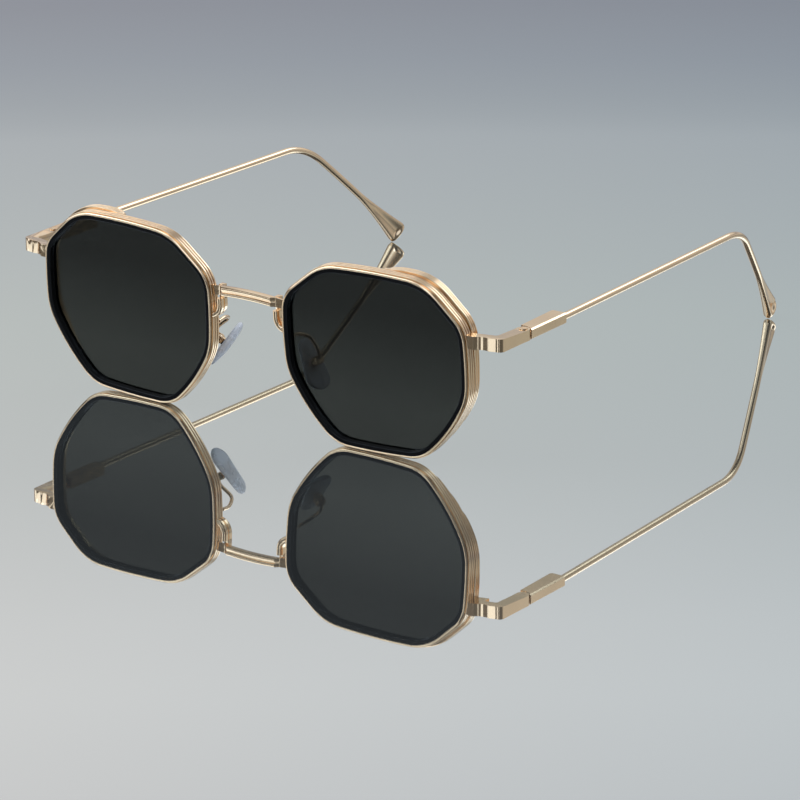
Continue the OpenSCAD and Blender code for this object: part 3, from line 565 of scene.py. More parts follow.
def buildRidgedRim():
    # a profile with a lip and ridges, all from the named sizes, swept along the lens outline
    maker = treeMaker("ridgedRim", rimSizes)
    given, calc, pick = maker.given, maker.calc, maker.pick

    def curved(value, exponent):
        # a power that keeps the sign
        return calc("MULTIPLY", calc("SIGN", value), calc("POWER", calc("ABSOLUTE", value), exponent))

    index = maker.add("GeometryNodeInputIndex").outputs[0]
    count = calc("MULTIPLY", calc("ADD", given["Ridge Count"], 1.0), float(ridgePoints))
    ring = maker.circle(calc("ADD", count, 2.0), 1.0)
    # the first block of points is the lip, and each later one a ridge
    block = calc("FLOOR", calc("DIVIDE", index, float(ridgePoints)))
    inBlock = calc("SUBTRACT", index, calc("MULTIPLY", block, float(ridgePoints)))
    angle = calc("MULTIPLY", inBlock, math.pi / (ridgePoints - 1))
    cosine = calc("COSINE", angle)
    sine = calc("MAXIMUM", calc("SINE", angle), 0.0)
    # lip
    lipHalf = calc("MULTIPLY", given["Lip Depth"], 0.5)
    lipOut = calc("MULTIPLY", given["Lip Band"], sine)
    domed = calc("MULTIPLY", curved(cosine, given["Lip Dome"]), lipHalf)
    slope = calc("MULTIPLY", lipOut, given["Lip Slope"])
    nearEdge = calc("POWER", calc("SUBTRACT", 1.0, sine), 8.0)
    inside = calc("MULTIPLY", nearEdge, given["Lip Inside"])
    inside = calc("MULTIPLY", inside, calc("GREATER_THAN", cosine, 0.0))
    lipDepth = calc("ADD", calc("SUBTRACT", lipHalf, domed), calc("ADD", slope, inside))
    lipRear = calc("MAXIMUM", lipOut, given["Neck Band"])
    lipBand = pick(calc("GREATER_THAN", inBlock, (ridgePoints - 1) / 2), lipOut, lipRear)
    # ridges
    start = calc("ADD", given["Lip Depth"], given["Neck Depth"])
    pitch = calc("DIVIDE", calc("SUBTRACT", given["Rim Depth"], start), given["Ridge Count"])
    ridgeHalf = calc("MULTIPLY", calc("MULTIPLY", pitch, given["Ridge Share"]), 0.5)
    ridgeStart = calc("ADD", start, calc("MULTIPLY", calc("SUBTRACT", block, 1.0), pitch))
    along = calc("MULTIPLY", curved(cosine, given["Roundness"]), ridgeHalf)
    ridgeDepth = calc("SUBTRACT", calc("ADD", ridgeStart, ridgeHalf), along)
    above = calc("SUBTRACT", given["Ridge Band"], given["Neck Band"])
    rise = calc("MULTIPLY", above, calc("POWER", sine, given["Roundness"]))
    ridgeBand = calc("ADD", given["Neck Band"], rise)
    isLip = calc("LESS_THAN", block, 0.5)
    depth = pick(isLip, ridgeDepth, lipDepth)
    band = pick(isLip, ridgeBand, lipBand)
    # rear face and inner wall
    isEnd = calc("GREATER_THAN", index, calc("SUBTRACT", count, 0.5))
    isInner = calc("GREATER_THAN", index, calc("ADD", count, 0.5))
    depth = pick(isEnd, depth, given["Rim Depth"])
    band = pick(isEnd, band, pick(isInner, given["Neck Band"], 0.0))
    spot = maker.add("ShaderNodeCombineXYZ", {"X": band, "Y": depth, "Z": 0.0}).outputs[0]
    profile = maker.add("GeometryNodeSetPosition", {"Geometry": ring, "Position": spot})
    return maker.sweep(profile.outputs[0])


def sweptByNodes(tree, values, points, cyclic):
    # runs a tree on a path of points and gives back a plain mesh
    curve = bpy.data.curves.new("path", "CURVE")
    curve.dimensions = "3D"
    spline = curve.splines.new("POLY")
    spline.points.add(len(points) - 1)
    for i, point in enumerate(points):
        spline.points[i].co = (*point, 1)
    spline.use_cyclic_u = cyclic
    holder = bpy.data.objects.new("path", curve)
    scene.collection.objects.link(holder)
    modifier = holder.modifiers.new("tree", "NODES")
    modifier.node_group = tree
    for item in tree.interface.items_tree:
        if item.in_out == "INPUT" and item.name in values:
            modifier[item.identifier] = values[item.name]
    mesh = evaluatedMesh(holder)
    bpy.data.curves.remove(curve)
    return mesh


ridgedRim = buildRidgedRim()


def tierShare(spot, way):
    # how much of its full depth the rear tier has at a place on the outline
    x, z = spot.x + way.x * tierSizes["reach"], spot.y + way.y * tierSizes["reach"]
    rise = clamp((x - tierSizes["start"]) / tierSizes["rise"])
    angle = math.radians(tierSizes["fadeFace"])
    along = x * math.cos(angle) + z * math.sin(angle)
    return min(rise, clamp((along - tierSizes["fadeEnd"]) / tierSizes["fade"]))


def browShare(x, z):
    # how far the tier is raised at a place
    start, rise, top = tierSizes["start"], tierSizes["rise"], outline["reachTop"]
    return clamp((x - start - rise / 2) / (1.5 * rise)) * clamp((z + top / 2) / top)


def smoothStep(value):
    return value * value * (3 - 2 * value)


def tierBand(depth):
    # outward thickness of the rear tier at a depth behind its start
    pitch = tierSizes["depth"] / tierSizes["count"]
    base = rimSizes["Ridge Band"] - tierSizes["groove"]
    inPitch = (depth % pitch) / pitch
    if depth < 0 or inPitch > tierSizes["share"]:
        return base
    swing = abs(2 * inPitch / tierSizes["share"] - 1)
    return base + tierSizes["groove"] * (1 - swing ** tierSizes["squareness"])


def rearTier():
    # finely ridged tier on the temple side, clipped to the depth it reaches at each place
    front, full = -tierSizes["inFront"], tierSizes["depth"]
    pitch = full / tierSizes["count"]
    steps = tierSizes["ridgeSteps"]
    samples = [front]
    for i in range(tierSizes["count"]):
        samples += [i * pitch + pitch * tierSizes["share"] * k / steps for k in range(steps + 1)]
    samples.append(full)
    shares = [tierShare(spot, way) for spot, way in openingWays]
    chosen = [i for i, share in enumerate(shares) if share > tierSizes["least"]]
    # put the run in order, as it may pass the start of the list
    gap = next((k for k in range(1, len(chosen)) if chosen[k] != chosen[k - 1] + 1), 0)
    rings = []
    for i in chosen[gap:] + chosen[:gap]:
        spot, way = openingWays[i]
        lift = Vector((tierSizes["out"], tierSizes["up"])) * smoothStep(browShare(spot.x, spot.y))
        end = full * shares[i]
        ring = []
        for depth in samples:
            kept = min(depth, end)
            at = spot + way * tierBand(kept) + lift
            ring.append(Vector((at.x, rimSizes["Rim Depth"] + kept, at.y)))
        ring += [Vector((spot.x, rimSizes["Rim Depth"] + depth, spot.y)) for depth in (end, front)]
        rings.append(ring)
    return solidOf(rings, 2e-3)


def joined(meshes):
    work = bmesh.new()
    for mesh in meshes:
        work.from_mesh(mesh)
    result = bpy.data.meshes.new("joined")
    work.to_mesh(result)
    work.free()
    return result


def rimRoom(intoFrame):
    # a block with the outline of the rim, to cut what stands against it
    band = rimSizes["Ridge Band"] + rimGap
    return solidOf([
        [intoFrame @ beside(spot, way, band, depth) for spot, way in openingWays] for depth in rimDepths
    ])


def makeRim(side):
    path = [(spot.x, spot.y, 0.0) for spot, way in openingWays]
    tier = sweptByNodes(ridgedRim, dict(rimSizes, Material=finishes["gold_metal"]), path, True)
    # the path lies flat, so the mesh is stood up, with the profile towards the back
    deeper = max(v.co.z for v in tier.vertices) > 1
    for v in tier.vertices:
        v.co = Vector((v.co.x, v.co.z if deeper else -v.co.z, v.co.y))
    fixedOutwards(tier)
    mesh = joined([tier, rearTier()])
    addPart("rim_" + side, "_ridged", mesh, "gold_metal", tierSizes["sharpFrom"], lensFrame, side)


for side in sides:
    makeRim(side)
print("rims ready")

# liner and lens
linerSizes = {
    "fit": 0.02,
    "width": 1.0,
    "front": 0.12,
    "rear": 3.08,
    "seat": 0.5,
    "recess": 1.6,  # front of the lens behind the front of the rim
    "thick": 1.2,
    "edgeRound": 0.16,
    "cornerRound": 0.05,
    "seatRound": 0.06,
    "roundSteps": 5,
    "lensRound": 0.12,
    "sharpFrom": 40,
    "lensSharpFrom": 30,
}


def makeLiner(side):
    fit, width = linerSizes["fit"], linerSizes["width"]
    seat = linerSizes["seat"] - width + fit
    low, high = linerSizes["recess"] - fit, linerSizes["recess"] + linerSizes["thick"] + fit
    soft, small = linerSizes["edgeRound"], linerSizes["cornerRound"]
    corners = [
        (-fit, linerSizes["front"]), (-width, linerSizes["front"]), (-width, low), (seat, low),
        (seat, high), (-width, high), (-width, linerSizes["rear"]), (-fit, linerSizes["rear"]),
    ]
    radii = [small, soft, linerSizes["seatRound"], 0, 0, small, soft, small]
    profile = softened(corners, radii, linerSizes["roundSteps"])
    rings = [[beside(spot, way, out, depth) for out, depth in profile] for spot, way in openingWays]
    mesh = solidOf(rings, closedPath=True)
    addPart("liner_" + side, "_soft", mesh, "black_liner", linerSizes["sharpFrom"], lensFrame, side)


def makeLens(side):
    edge = linerSizes["seat"] - linerSizes["width"]
    soft = linerSizes["lensRound"]
    front, rear = linerSizes["recess"], linerSizes["recess"] + linerSizes["thick"]
    profile = [(edge - soft, front), (edge, front + soft), (edge, rear - soft), (edge - soft, rear)]
    rings = [[beside(spot, way, out, depth) for spot, way in openingWays] for out, depth in profile]
    mesh = solidOf(rings)
    addPart("lens_" + side, "_tinted", mesh, "grey_lens", linerSizes["lensSharpFrom"], lensFrame, side)


for side in sides:
    makeLiner(side)
    makeLens(side)
print("liners and lenses ready")

# bridge bar
bridgeSizes = {
    "legIn": 7.45,
    "back": -0.4,
    "up": 8.5,
    "arch": 95.0,
    "tall": 2.3,
    "deep": 1.6,
    "groove": 0.34,
    "grooveDeep": 0.35,
    "dome": 0.3,  # how far each half of the front is domed
    "domeSteps": 10,
    "rearRound": 0.25,
    "turn": 1.0,  # depth of the slanted facet at each end
    "turnIn": 0.4,  # how far inside the legs it starts
    "ease": 0.08,  # length over which its corners are eased, and by what share
    "easeShare": 0.3,
    "squash": 0.04,  # what is left of the front's shape on the facet
    "steps": 24,
    "fitTries": 3,  # how often the end is fitted to the rim
    "sharpFrom": 28,
}


def rimEdgeAt(height):
    # where the nose side of the right rim lies at a height, in the frame of the front
    grow = rimSizes["Ridge Band"] + rimGap
    edge = [lensToFront @ beside(spot, way, grow, 0) for spot, way in openingWays if spot.x < 0]
    near = sorted(edge, key=lambda v: abs(v.z - height))[:2]
    share = (height - near[0].z) / (near[1].z - near[0].z)
    return mix(near[0].x, near[1].x, share)


def bridgeSection():
    # closed outline of the bar as (up, depth), with two domed lobes and the groove between them
    size = bridgeSizes
    half, near = size["tall"] / 2, size["groove"] / 2
    deep, dome, steps = size["deep"], size["dome"], size["domeSteps"]
    lobe = []
    for k in range(steps + 1):
        sunk = dome - dome * math.sqrt(1 - (2 * k / steps - 1) ** 2)
        lobe.append((mix(near, half, k / steps), sunk))
    section = [(-up, depth) for up, depth in reversed(lobe)] + [(0, size["grooveDeep"])] + lobe
    rear = [(half, dome), (half, deep), (-half, deep), (-half, dome)]
    return section + softened(rear, [0, size["rearRound"], size["rearRound"], 0])[1:-1]


def makeBridge():
    size = bridgeSizes
    section = bridgeSection()
    facetFrom, ease = size["legIn"] - size["turnIn"], size["ease"]
    facetTo = facetFrom + size["turn"]
    # distances from the middle; None is the end, where the bar meets the rim
    reaches = [mix(0, facetFrom - ease, i / size["steps"]) for i in range(size["steps"] + 1)]
    reaches += [facetFrom, facetFrom + ease, facetTo - ease, facetTo, facetTo + ease, facetTo + 1, None]

    def upAt(x, radius):
        return size["up"] - size["arch"] + math.sqrt(radius ** 2 - x ** 2)

    def facetDepth(x):
        # the front falls back along the facet, with slightly eased corners
        if abs(x - facetFrom) < ease / 2:
            return ease * size["easeShare"]
        if abs(x - facetTo) < ease / 2:
            return size["turn"] - ease * size["easeShare"]
        return clamp((x - facetFrom) / size["turn"]) * size["turn"]

    def ringAt(reach, side):
        ring = []
        for up, depth in section:
            radius = size["arch"] + up
            x = reach
            for step in range(size["fitTries"] if reach is None else 0):
                x = rimEdgeAt(upAt(facetTo + 2 if step == 0 else x, radius))
            fall = facetDepth(x)
            here = depth if depth > fall else mix(fall, depth, size["squash"])
            ring.append(Vector((side * x, size["back"] + here, upAt(x, radius))))
        return ring

    rings = [ringAt(reach, -1) for reach in reversed(reaches)]
    rings += [ringAt(reach, 1) for reach in reaches[1:]]
    mesh = solidOf(rings, 1e-4)
    addPart("bridge_bar", "_arched", mesh, "gold_metal", size["sharpFrom"], frontFrame, "right")


makeBridge()

# bridge brackets
bracketSizes = {
    "legIn": 7.45,
    "space": 3.6,
    "hook": 4.6,
    "barLow": 6.2,
    "top": 9.4,
    "thick": 1.4,
    "back": -0.2,
    "deep": 2.8,
    "behindBar": 1.25,
    "frontRound": 0.68,
    "rearRound": 0.3,
    "roundSteps": 6,
    "slot": 0.5,
    "slotTaper": 0.6,  # width of its floor beside that of its mouth
    "slotDeep": 0.3,
    "hookTurn": 78.0,
    "hookSteps": 20,
    "edge": 0.12,
    "slotRound": (0.06, 0.04),  # at its mouth and its floor
    "barGap": 0.02,
    "overlap": 0.3,  # how far the parts of the bracket run into each other
    "sharpFrom": 32,
}


def bracketLeg():
    # a leg with a rounded front and a slot on its inner side, hooked onto the rim
    size = bracketSizes
    thick, deep, middle, slot = size["thick"], size["deep"], size["deep"] / 2, size["slot"] / 2
    inner, floorHalf = size["slotDeep"], slot * size["slotTaper"]
    corners = [
        (0, 0), (thick, 0), (thick, deep), (0, deep),
        (0, middle + slot), (inner, middle + floorHalf), (inner, middle - floorHalf), (0, middle - slot),
    ]
    front, rear = size["frontRound"], size["rearRound"]
    mouth, floor = size["slotRound"]
    section = softened(corners, [front, front, rear, rear, mouth, floor, floor, mouth], size["roundSteps"])
    rings = [
        [Vector((size["legIn"] + u, size["back"] + d, z)) for u, d in section]
        for z in (size["barLow"] - size["barGap"], size["hook"] + size["overlap"])
    ]
    centre = Vector((size["legIn"] + size["space"], size["hook"]))
    for k in range(size["hookSteps"] + 1):
        angle = 180 + size["hookTurn"] * k / size["hookSteps"]
        spots = [(centre + polar(size["space"] - u, angle), d) for u, d in section]
        rings.append([Vector((spot.x, size["back"] + d, spot.y)) for spot, d in spots])
    return cutAway(solidOf(rings), [rimRoom(lensToFront)])


def makeBracket(side):
    # the leg and a post behind the bar
    size = bracketSizes
    inside, outside = size["legIn"], size["legIn"] + size["thick"]
    low, high, rear = size["behindBar"], size["back"] + size["deep"], size["rearRound"]
    plan = softened([(inside, low), (outside, low), (outside, high), (inside, high)], [0, 0, rear, rear])
    post = prism(plan, size["barLow"] - size["overlap"], size["top"])
    mesh = joined([bracketLeg(), withModifiers(post, bevel(size["edge"], 2, 50))])
    addPart("bridge_bracket_" + side, "_grooved", mesh, "gold_metal", size["sharpFrom"], frontFrame, side)


# end pieces
endSizes = {
    "rimOut": 60.65,
    "rimIn": 1.5,
    "hingeOut": 68.35,
    "hingeBack": 12.9,
    "half": 1.55,
    "halfHinge": 1.3,
    "corner": (68.0, 3.95),
    "cornerRound": 1.4,
    "cornerLead": 6.0,
    "setback": 1.0,
    "rear": (3.2, 4.85),  # rear face at the rim and inside the hinge
    "scallop": (65.362, -1.285),
    "scallopRadius": 3.47,
    "scallopFrom": 138.8,
    "scallopTo": 75.0,
    "fillet": 0.9,
    "earRadius": 1.6,
    "slotHalf": 0.6,
    "slotFrom": 11.35,
    "slotOut": 1.49,  # a thin wall is left outside the tongue
    "bore": 0.62,
    "head": 1.02,
    "seat": 1.05,
    "edge": 0.1,
    "beyond": 4,  # how far the cutters run past the piece
    "arcSteps": (20, 24, 36, 10),  # of the scallop, the corner, the fork and the fillet
    "boreSteps": (40, 48),
    "sharpFrom": 40,
}


def arcPoints(centre, radius, start, end, steps):
    return [Vector(centre) + polar(radius, mix(start, end, k / steps)) for k in range(steps + 1)]


def prism(points, low, high):
    return solidOf([[Vector((x, y, z)) for x, y in points] for z in (low, high)], 1e-3)


def cutAway(mesh, cutters):
    # takes each closed mesh out of the first
    holders = []
    for cutter in cutters:
        holder = bpy.data.objects.new("cutter", cutter)
        scene.collection.objects.link(holder)
        holders.append(holder)
    cut = {"operation": "DIFFERENCE", "solver": "EXACT"}
    done = withModifiers(mesh, *[("BOOLEAN", dict(cut, object=holder)) for holder in holders])
    for holder in holders:
        bpy.data.objects.remove(holder)
    return done


def endPlan():
    # the end piece from above: scallop, corner, fork of the hinge and the inner fillet
    size = endSizes
    hinge = (size["hingeOut"], size["hingeBack"])
    corner, ear, fillet = size["corner"], size["earRadius"], size["fillet"]
    inside = size["hingeOut"] - ear
    start = size["rimOut"] - size["rimIn"]

    def rearAt(out):
        return mix(*size["rear"], (out - size["rimOut"]) / (inside - size["rimOut"]))

    cornerOut = corner[0] + size["cornerRound"]
    lead = math.degrees(math.atan2(hinge[0] + ear - cornerOut, hinge[1] - corner[1]))
    turnSpot = (inside - fillet, rearAt(inside - fillet) + fillet)
    points = [Vector((start, size["setback"]))]
    for (centre, radius, angleFrom, angleTo), steps in zip((
        (size["scallop"], size["scallopRadius"], size["scallopFrom"], size["scallopTo"]),
        (corner, size["cornerRound"], -90 - size["cornerLead"], 0),
        (hinge, ear, -lead, 180),
        (turnSpot, fillet, 0, -90),
    ), size["arcSteps"]):
        points += arcPoints(centre, radius, angleFrom, angleTo, steps)
    points.append(Vector((start, rearAt(start))))
    return points


def endCutters(level):
    # the room of the rim, the slot of the tongue, the bore and the seat of the screw head
    size = endSizes
    out, back, beyond = size["hingeOut"], size["hingeBack"], size["beyond"]
    slotFrom, slotOut, slotHalf = size["slotFrom"], out + size["slotOut"], size["slotHalf"]
    slotIn, slotBack = out - beyond, back + beyond
    boreSteps, headSteps = size["boreSteps"]
    slot = [(slotIn, slotFrom), (slotOut, slotFrom), (slotOut, slotBack), (slotIn, slotBack)]
    return [
        rimRoom(level.inverted() @ lensFrame),
        prism(slot, -slotHalf, slotHalf),
        prism(arcPoints((out, back), size["bore"], 0, 360, boreSteps), -beyond, beyond),
        prism(arcPoints((out, back), size["head"], 0, 360, headSteps), size["seat"], beyond),
    ]


def makeEndPiece(side):
    size = endSizes
    level = shift(0, place["frontBack"], place["hingePin"][2])
    mesh = prism(endPlan(), -1, 1)
    # its height falls towards the hinge
    slopeFrom, slopeTo = size["corner"][1], size["hingeBack"] - size["earRadius"]
    work = bmesh.new()
    work.from_mesh(mesh)
    for depth in (slopeFrom, slopeTo):
        bmesh.ops.bisect_plane(
            work, geom=work.verts[:] + work.edges[:] + work.faces[:],
            plane_co=(0, depth, 0), plane_no=(0, 1, 0), dist=1e-5,
        )
    for vert in work.verts:
        share = clamp((vert.co.y - slopeFrom) / (slopeTo - slopeFrom))
        vert.co.z = math.copysign(mix(size["half"], size["halfHinge"], share), vert.co.z)
    work.to_mesh(mesh)
    work.free()
    mesh = cutAway(mesh, endCutters(level))
    fixedOutwards(mesh, 1e-4)
    mesh = withModifiers(mesh, bevel(size["edge"], 2, 18))
    finishMesh(mesh, "gold_metal", size["sharpFrom"])
    mesh = withModifiers(mesh, flatNormals(60))
    placeMesh(mesh, level, side)
    addPiece("end_piece_" + side, "_scalloped", mesh, "front")


for side in sides:
    makeBracket(side)
    makeEndPiece(side)
print("bridge and end pieces ready")

# pieces whose edges only need softening, by these widths
softEdges = {
    "rim_lock": 0.08,
    "lock_screw": 0.05,
    "hinge_screw": 0.06,
    "temple_block": 0.09,
    "pad_core": 0.06,
    "pad_screw": 0.04,
}
bodyOf = {"temple_block": "temple_", "pad_core": "pad_"}  # the others are on the front


def softenedNode(node, width, body):
    # a merged copy of the CAD piece, with bevelled edges
    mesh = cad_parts[node].data.copy()
    work = bmesh.new()
    work.from_mesh(mesh)
    bmesh.ops.remove_doubles(work, verts=work.verts, dist=2e-6)
    bmesh.ops.dissolve_limit(work, angle_limit=math.radians(1.0), verts=work.verts, edges=work.edges)
    for face in work.faces:
        face.smooth = True
    work.to_mesh(mesh)
    work.free()
    done = withModifiers(mesh, bevel(width * mm, 2, 28), flatNormals(100))
    done.materials.clear()
    done.materials.append(finishes["gold_metal"])
    addPiece(node, "_soft", done, body)


for side in sides:
    for name, width in softEdges.items():
        softenedNode(name + "_" + side, width, bodyOf[name] + side if name in bodyOf else "front")
print("screws, blocks and cores ready")

# temple wires
wireSizes = {
    "radius": 0.88,
    "out": 0.6,
    "start": 10.1,
    "straight": 80.8,
    "bend": 14.0,
    "dives": (0.5, 42.5, 46.0),
    "turns": (1.9, 16.6),
    "flare": 17.0,
    "flarePower": 1.5,
    "tipWide": 5.6,
    "tipThick": 2.2,
    "tipWaist": 1.1,
    "tipLip": 0.9,
    "tipRound": 0.4,
    "leadAt": (0.5, 0.97),  # extra points on the straight run
    "sample": 0.4,  # half the length over which the direction is read
    "stations": (32, 8, 6),  # rings along the flare, over the raised end and round the edge
    "tipTrim": 0.05,  # keeps the smoothed tip inside the box of the construction
    "bendSteps": 9,
    "tailSteps": 12,
    "around": 40,
    "smooth": 3,  # steps between two corners of the route
    "sharpFrom": 45,
}


def tailLength():
    # the tail is as long as it takes to reach the table
    size = wireSizes
    diveA, diveB, diveC = (math.radians(dive) for dive in size["dives"])
    bends, tails = size["bendSteps"], size["tailSteps"]
    bendDives = [mix(diveA, diveB, (i + 0.5) / bends) for i in range(bends)]
    bendDrop = size["bend"] / bends * sum(math.sin(dive) for dive in bendDives)
    low = (size["tipWide"] / 2 - size["tipRound"]) * math.cos(diveC) + size["tipRound"]
    drop = place["hingePin"][2] - size["straight"] * math.sin(diveA) - bendDrop
    drop -= size["tipLip"] * math.sin(diveC) + low
    return drop * tails / sum(math.sin(mix(diveB, diveC, (i + 0.5) / tails)) for i in range(tails))


def wireRoute():
    # corner points of the route, as in the construction
    size = wireSizes
    diveA, diveB, diveC = size["dives"]
    turnA, turnB = size["turns"]
    runs = [(size["straight"], diveA, turnA)]
    bends, tails = size["bendSteps"], size["tailSteps"]
    for i in range(bends):
        share = (i + 0.5) / bends
        runs.append((size["bend"] / bends, mix(diveA, diveB, share), mix(turnA, turnB, share)))
    tail = tailLength()
    for i in range(tails):
        runs.append((tail / tails, mix(diveB, diveC, (i + 0.5) / tails), turnB))
    runs.append((size["tipLip"] + size["tipRound"] - size["tipTrim"], diveC, turnB))
    points = [Vector((size["out"], size["start"], 0))]
    for long, dive, inward in runs:
        d, t = math.radians(dive), math.radians(inward)
        way = Vector((-math.sin(t) * math.cos(d), math.cos(t) * math.cos(d), -math.sin(d)))
        points.append(points[-1] + long * way)
    return points


def curvePoint(a, b, c, d, t):
    # a smooth curve from b to c, with a and d as its neighbours
    square = 2 * a - 5 * b + 4 * c - d
    cube = 3 * b - a - 3 * c + d
    return 0.5 * (2 * b + (c - a) * t + square * t ** 2 + cube * t ** 3)


def smoothRoute(points, steps):
    last = len(points) - 1
    result = []
    for i in range(last):
        for k in range(steps):
            result.append(curvePoint(
                points[max(i - 1, 0)], points[i], points[i + 1], points[min(i + 2, last)], k / steps
            ))
    result.append(points[last])
    return result


def wireSection(distance, tailEnd):
    # half width, half thickness of the lobes and of the waist, at a distance along the wire
    size = wireSizes
    share = clamp((distance - tailEnd + size["flare"]) / size["flare"])
    grown = share ** size["flarePower"]
    wide = mix(size["radius"], size["tipWide"] / 2, grown)
    lobe = mix(size["radius"], size["tipThick"] / 2 / math.sin(math.pi / 4), grown)
    waist = mix(size["radius"], size["tipWaist"] / 2, share)
    waist = mix(waist, lobe, smoothStep(clamp((distance - tailEnd) / size["tipLip"])))
    closing = clamp((distance - tailEnd - size["tipLip"]) / size["tipRound"])
    inset = size["tipRound"] * (1 - math.sqrt(1 - closing ** 2))
    return wide - inset, lobe - inset, waist - inset


def wireMesh():
    size = wireSizes
    corners = wireRoute()
    # the straight run keeps its direction, so the smooth part starts near its end
    middle, late = (corners[0].lerp(corners[1], share) for share in size["leadAt"])
    route = [corners[0], middle] + smoothRoute([late] + corners[1:], size["smooth"])
    lengths = [0.0]
    for a, b in zip(route, route[1:]):
        lengths.append(lengths[-1] + (b - a).length)
    whole = lengths[-1]
    lipEnd = whole - size["tipRound"]
    tailEnd = lipEnd - size["tipLip"]
    flareStart = tailEnd - size["flare"]

    def at(distance):
        for i in range(1, len(route)):
            if lengths[i] >= distance - 1e-9:
                share = (distance - lengths[i - 1]) / max(lengths[i] - lengths[i - 1], 1e-9)
                return route[i - 1].lerp(route[i], clamp(share))
        return route[-1]

    # more rings towards the tip, over its raised end and round its edge
    flares, lips, edges = size["stations"]
    stations = [s for s in lengths if s < flareStart]
    stations += [mix(flareStart, tailEnd, k / flares) for k in range(flares)]
    stations += [mix(tailEnd, lipEnd, k / lips) for k in range(lips)]
    stations += [lipEnd + size["tipRound"] * math.sin(math.pi / 2 * k / edges) for k in range(edges + 1)]
    rings = []
    around, reach = size["around"], size["sample"]
    for s in stations:
        way = (at(min(s + reach, whole)) - at(max(s - reach, 0))).normalized()
        across = way.cross(Vector((0, 0, 1))).normalized()
        above = across.cross(way)
        wide, lobe, waist = wireSection(s, tailEnd)
        ring = []
        for k in range(around):
            angle = 2 * math.pi * k / around
            sine = math.sin(angle)
            thick = sine * (2 * lobe - waist - 2 * (lobe - waist) * sine ** 2)
            ring.append(at(s) + above * wide * math.cos(angle) + across * thick)
        rings.append(ring)
    verts, faces = sweepRings(rings, caps=False)
    # ends closed by strips across, which stay flat on a waisted end
    for base, flip in ((0, False), ((len(rings) - 1) * around, True)):
        for k in range(around // 2):
            strip = (base + k, base + k + 1, base + (around - k - 1) % around, base + (around - k) % around)
            loop = [v for i, v in enumerate(strip) if strip.index(v) == i]
            if len(loop) > 2:
                faces.append(tuple(reversed(loop)) if flip else tuple(loop))
    mesh = meshOf(verts, faces)
    fixedOutwards(mesh)
    return mesh


for side in sides:
    wire, body = wireMesh(), "temple_" + side
    addPart("temple_wire_" + side, "_smooth", wire, "gold_metal", wireSizes["sharpFrom"], pinFrame, side, body)
print("temple wires ready")

# nose pads and their arms
padSizes = {
    "long": 13.0,
    "wide": 6.4,
    "narrow": 4.8,
    "thick": 1.9,
    "dome": 26.0,
    "gap": 1.3,
    "edge": 0.62,
    "lug": 0.95,
    "lugThick": 1.0,
    "lugTall": 1.6,
    "cheek": 0.45,
    "clear": 0.1,
    "wire": 0.45,
    "footDown": 0.6,
    "riseBack": 3.1,
    "riseOut": 0.3,
    "crestBack": 5.6,
    "crestOut": 1.6,
    "crestDown": 1.5,
    "steps": 10,
    "wireSides": 20,
    "around": 64,
    "edgeSteps": 8,
    "rearRings": (0.35, 0.7),
    "faceRings": (0.8, 0.5, 0.2),
    "cheekSpan": (62, 298),  # the round end of a cheek, in degrees
    "cageEdge": 0.09,
    "sharpFrom": 60,
    "armSharpFrom": 40,
}


def padOutline(shrink):
    # a teardrop, wide below, drawn in by an amount
    low, high = padSizes["wide"] / 2, padSizes["narrow"] / 2
    span = padSizes["long"] - low - high
    slant = math.degrees(math.asin((low - high) / span))
    half = padSizes["around"] // 2
    points = []
    for centre, radius, start, end in (
        (low - padSizes["long"] / 2, low, 180 - slant, 360 + slant),
        (padSizes["long"] / 2 - high, high, slant, 180 - slant),
    ):
        for k in range(half):
            points.append(Vector((0, centre)) + polar(radius - shrink, mix(start, end, k / (half - 1))))
    return points


def padMesh():
    # rings from the middle of the back, round the edge, to the middle of the domed face
    size = padSizes
    rear, face, edge = -size["gap"], -size["gap"] - size["thick"], size["edge"]

    def domed(point):
        # distance that the dome falls back from the face
        return size["dome"] - math.sqrt(size["dome"] ** 2 - point.length ** 2)

    rings = [[Vector((rear, *(p * share))) for p in padOutline(edge)] for share in size["rearRings"]]
    for k in range(size["edgeSteps"] + 1):
        angle = math.pi * k / size["edgeSteps"]
        ring = []
        for p in padOutline(edge * (1 - math.sin(angle))):
            front = face + domed(p)
            ring.append(Vector((mix(rear, front, 0.5) + (rear - front) / 2 * math.cos(angle), *p)))
        rings.append(ring)
    for share in size["faceRings"]:
        inner = [p * share for p in padOutline(edge)]
        rings.append([Vector((face + domed(p), *p)) for p in inner])
    return solidOf(rings, 1e-4)


def buildTube():
    maker = treeMaker("wireTube", {"Wire Radius": padSizes["wire"], "Sides": padSizes["wireSides"]})
    return maker.sweep(maker.circle(maker.given["Sides"], maker.given["Wire Radius"]))


wireTube = buildTube()


def padArmRoute():
    # in the frame of the front, from the back of the rim to the cage of the pad
    size = padSizes
    back = rimSizes["Rim Depth"] + linerSizes["fit"]
    root = lensToFront @ Vector((-outline["reachNose"] - rimSizes["Ridge Band"] / 2, back, -size["footDown"]))
    base = size["lug"] + 2 * size["clear"]
    end = padToFront @ Vector((base + size["cheek"] / 2, 0, 0))
    lead = padToFront @ Vector((base + 2 * size["wire"], 0, 2 * size["lug"]))
    rise = root + Vector((size["riseOut"], size["riseBack"], 0))
    crest = root + Vector((size["crestOut"], size["crestBack"], -size["crestDown"]))
    return smoothRoute([root, rise, crest, lead, end], size["steps"])


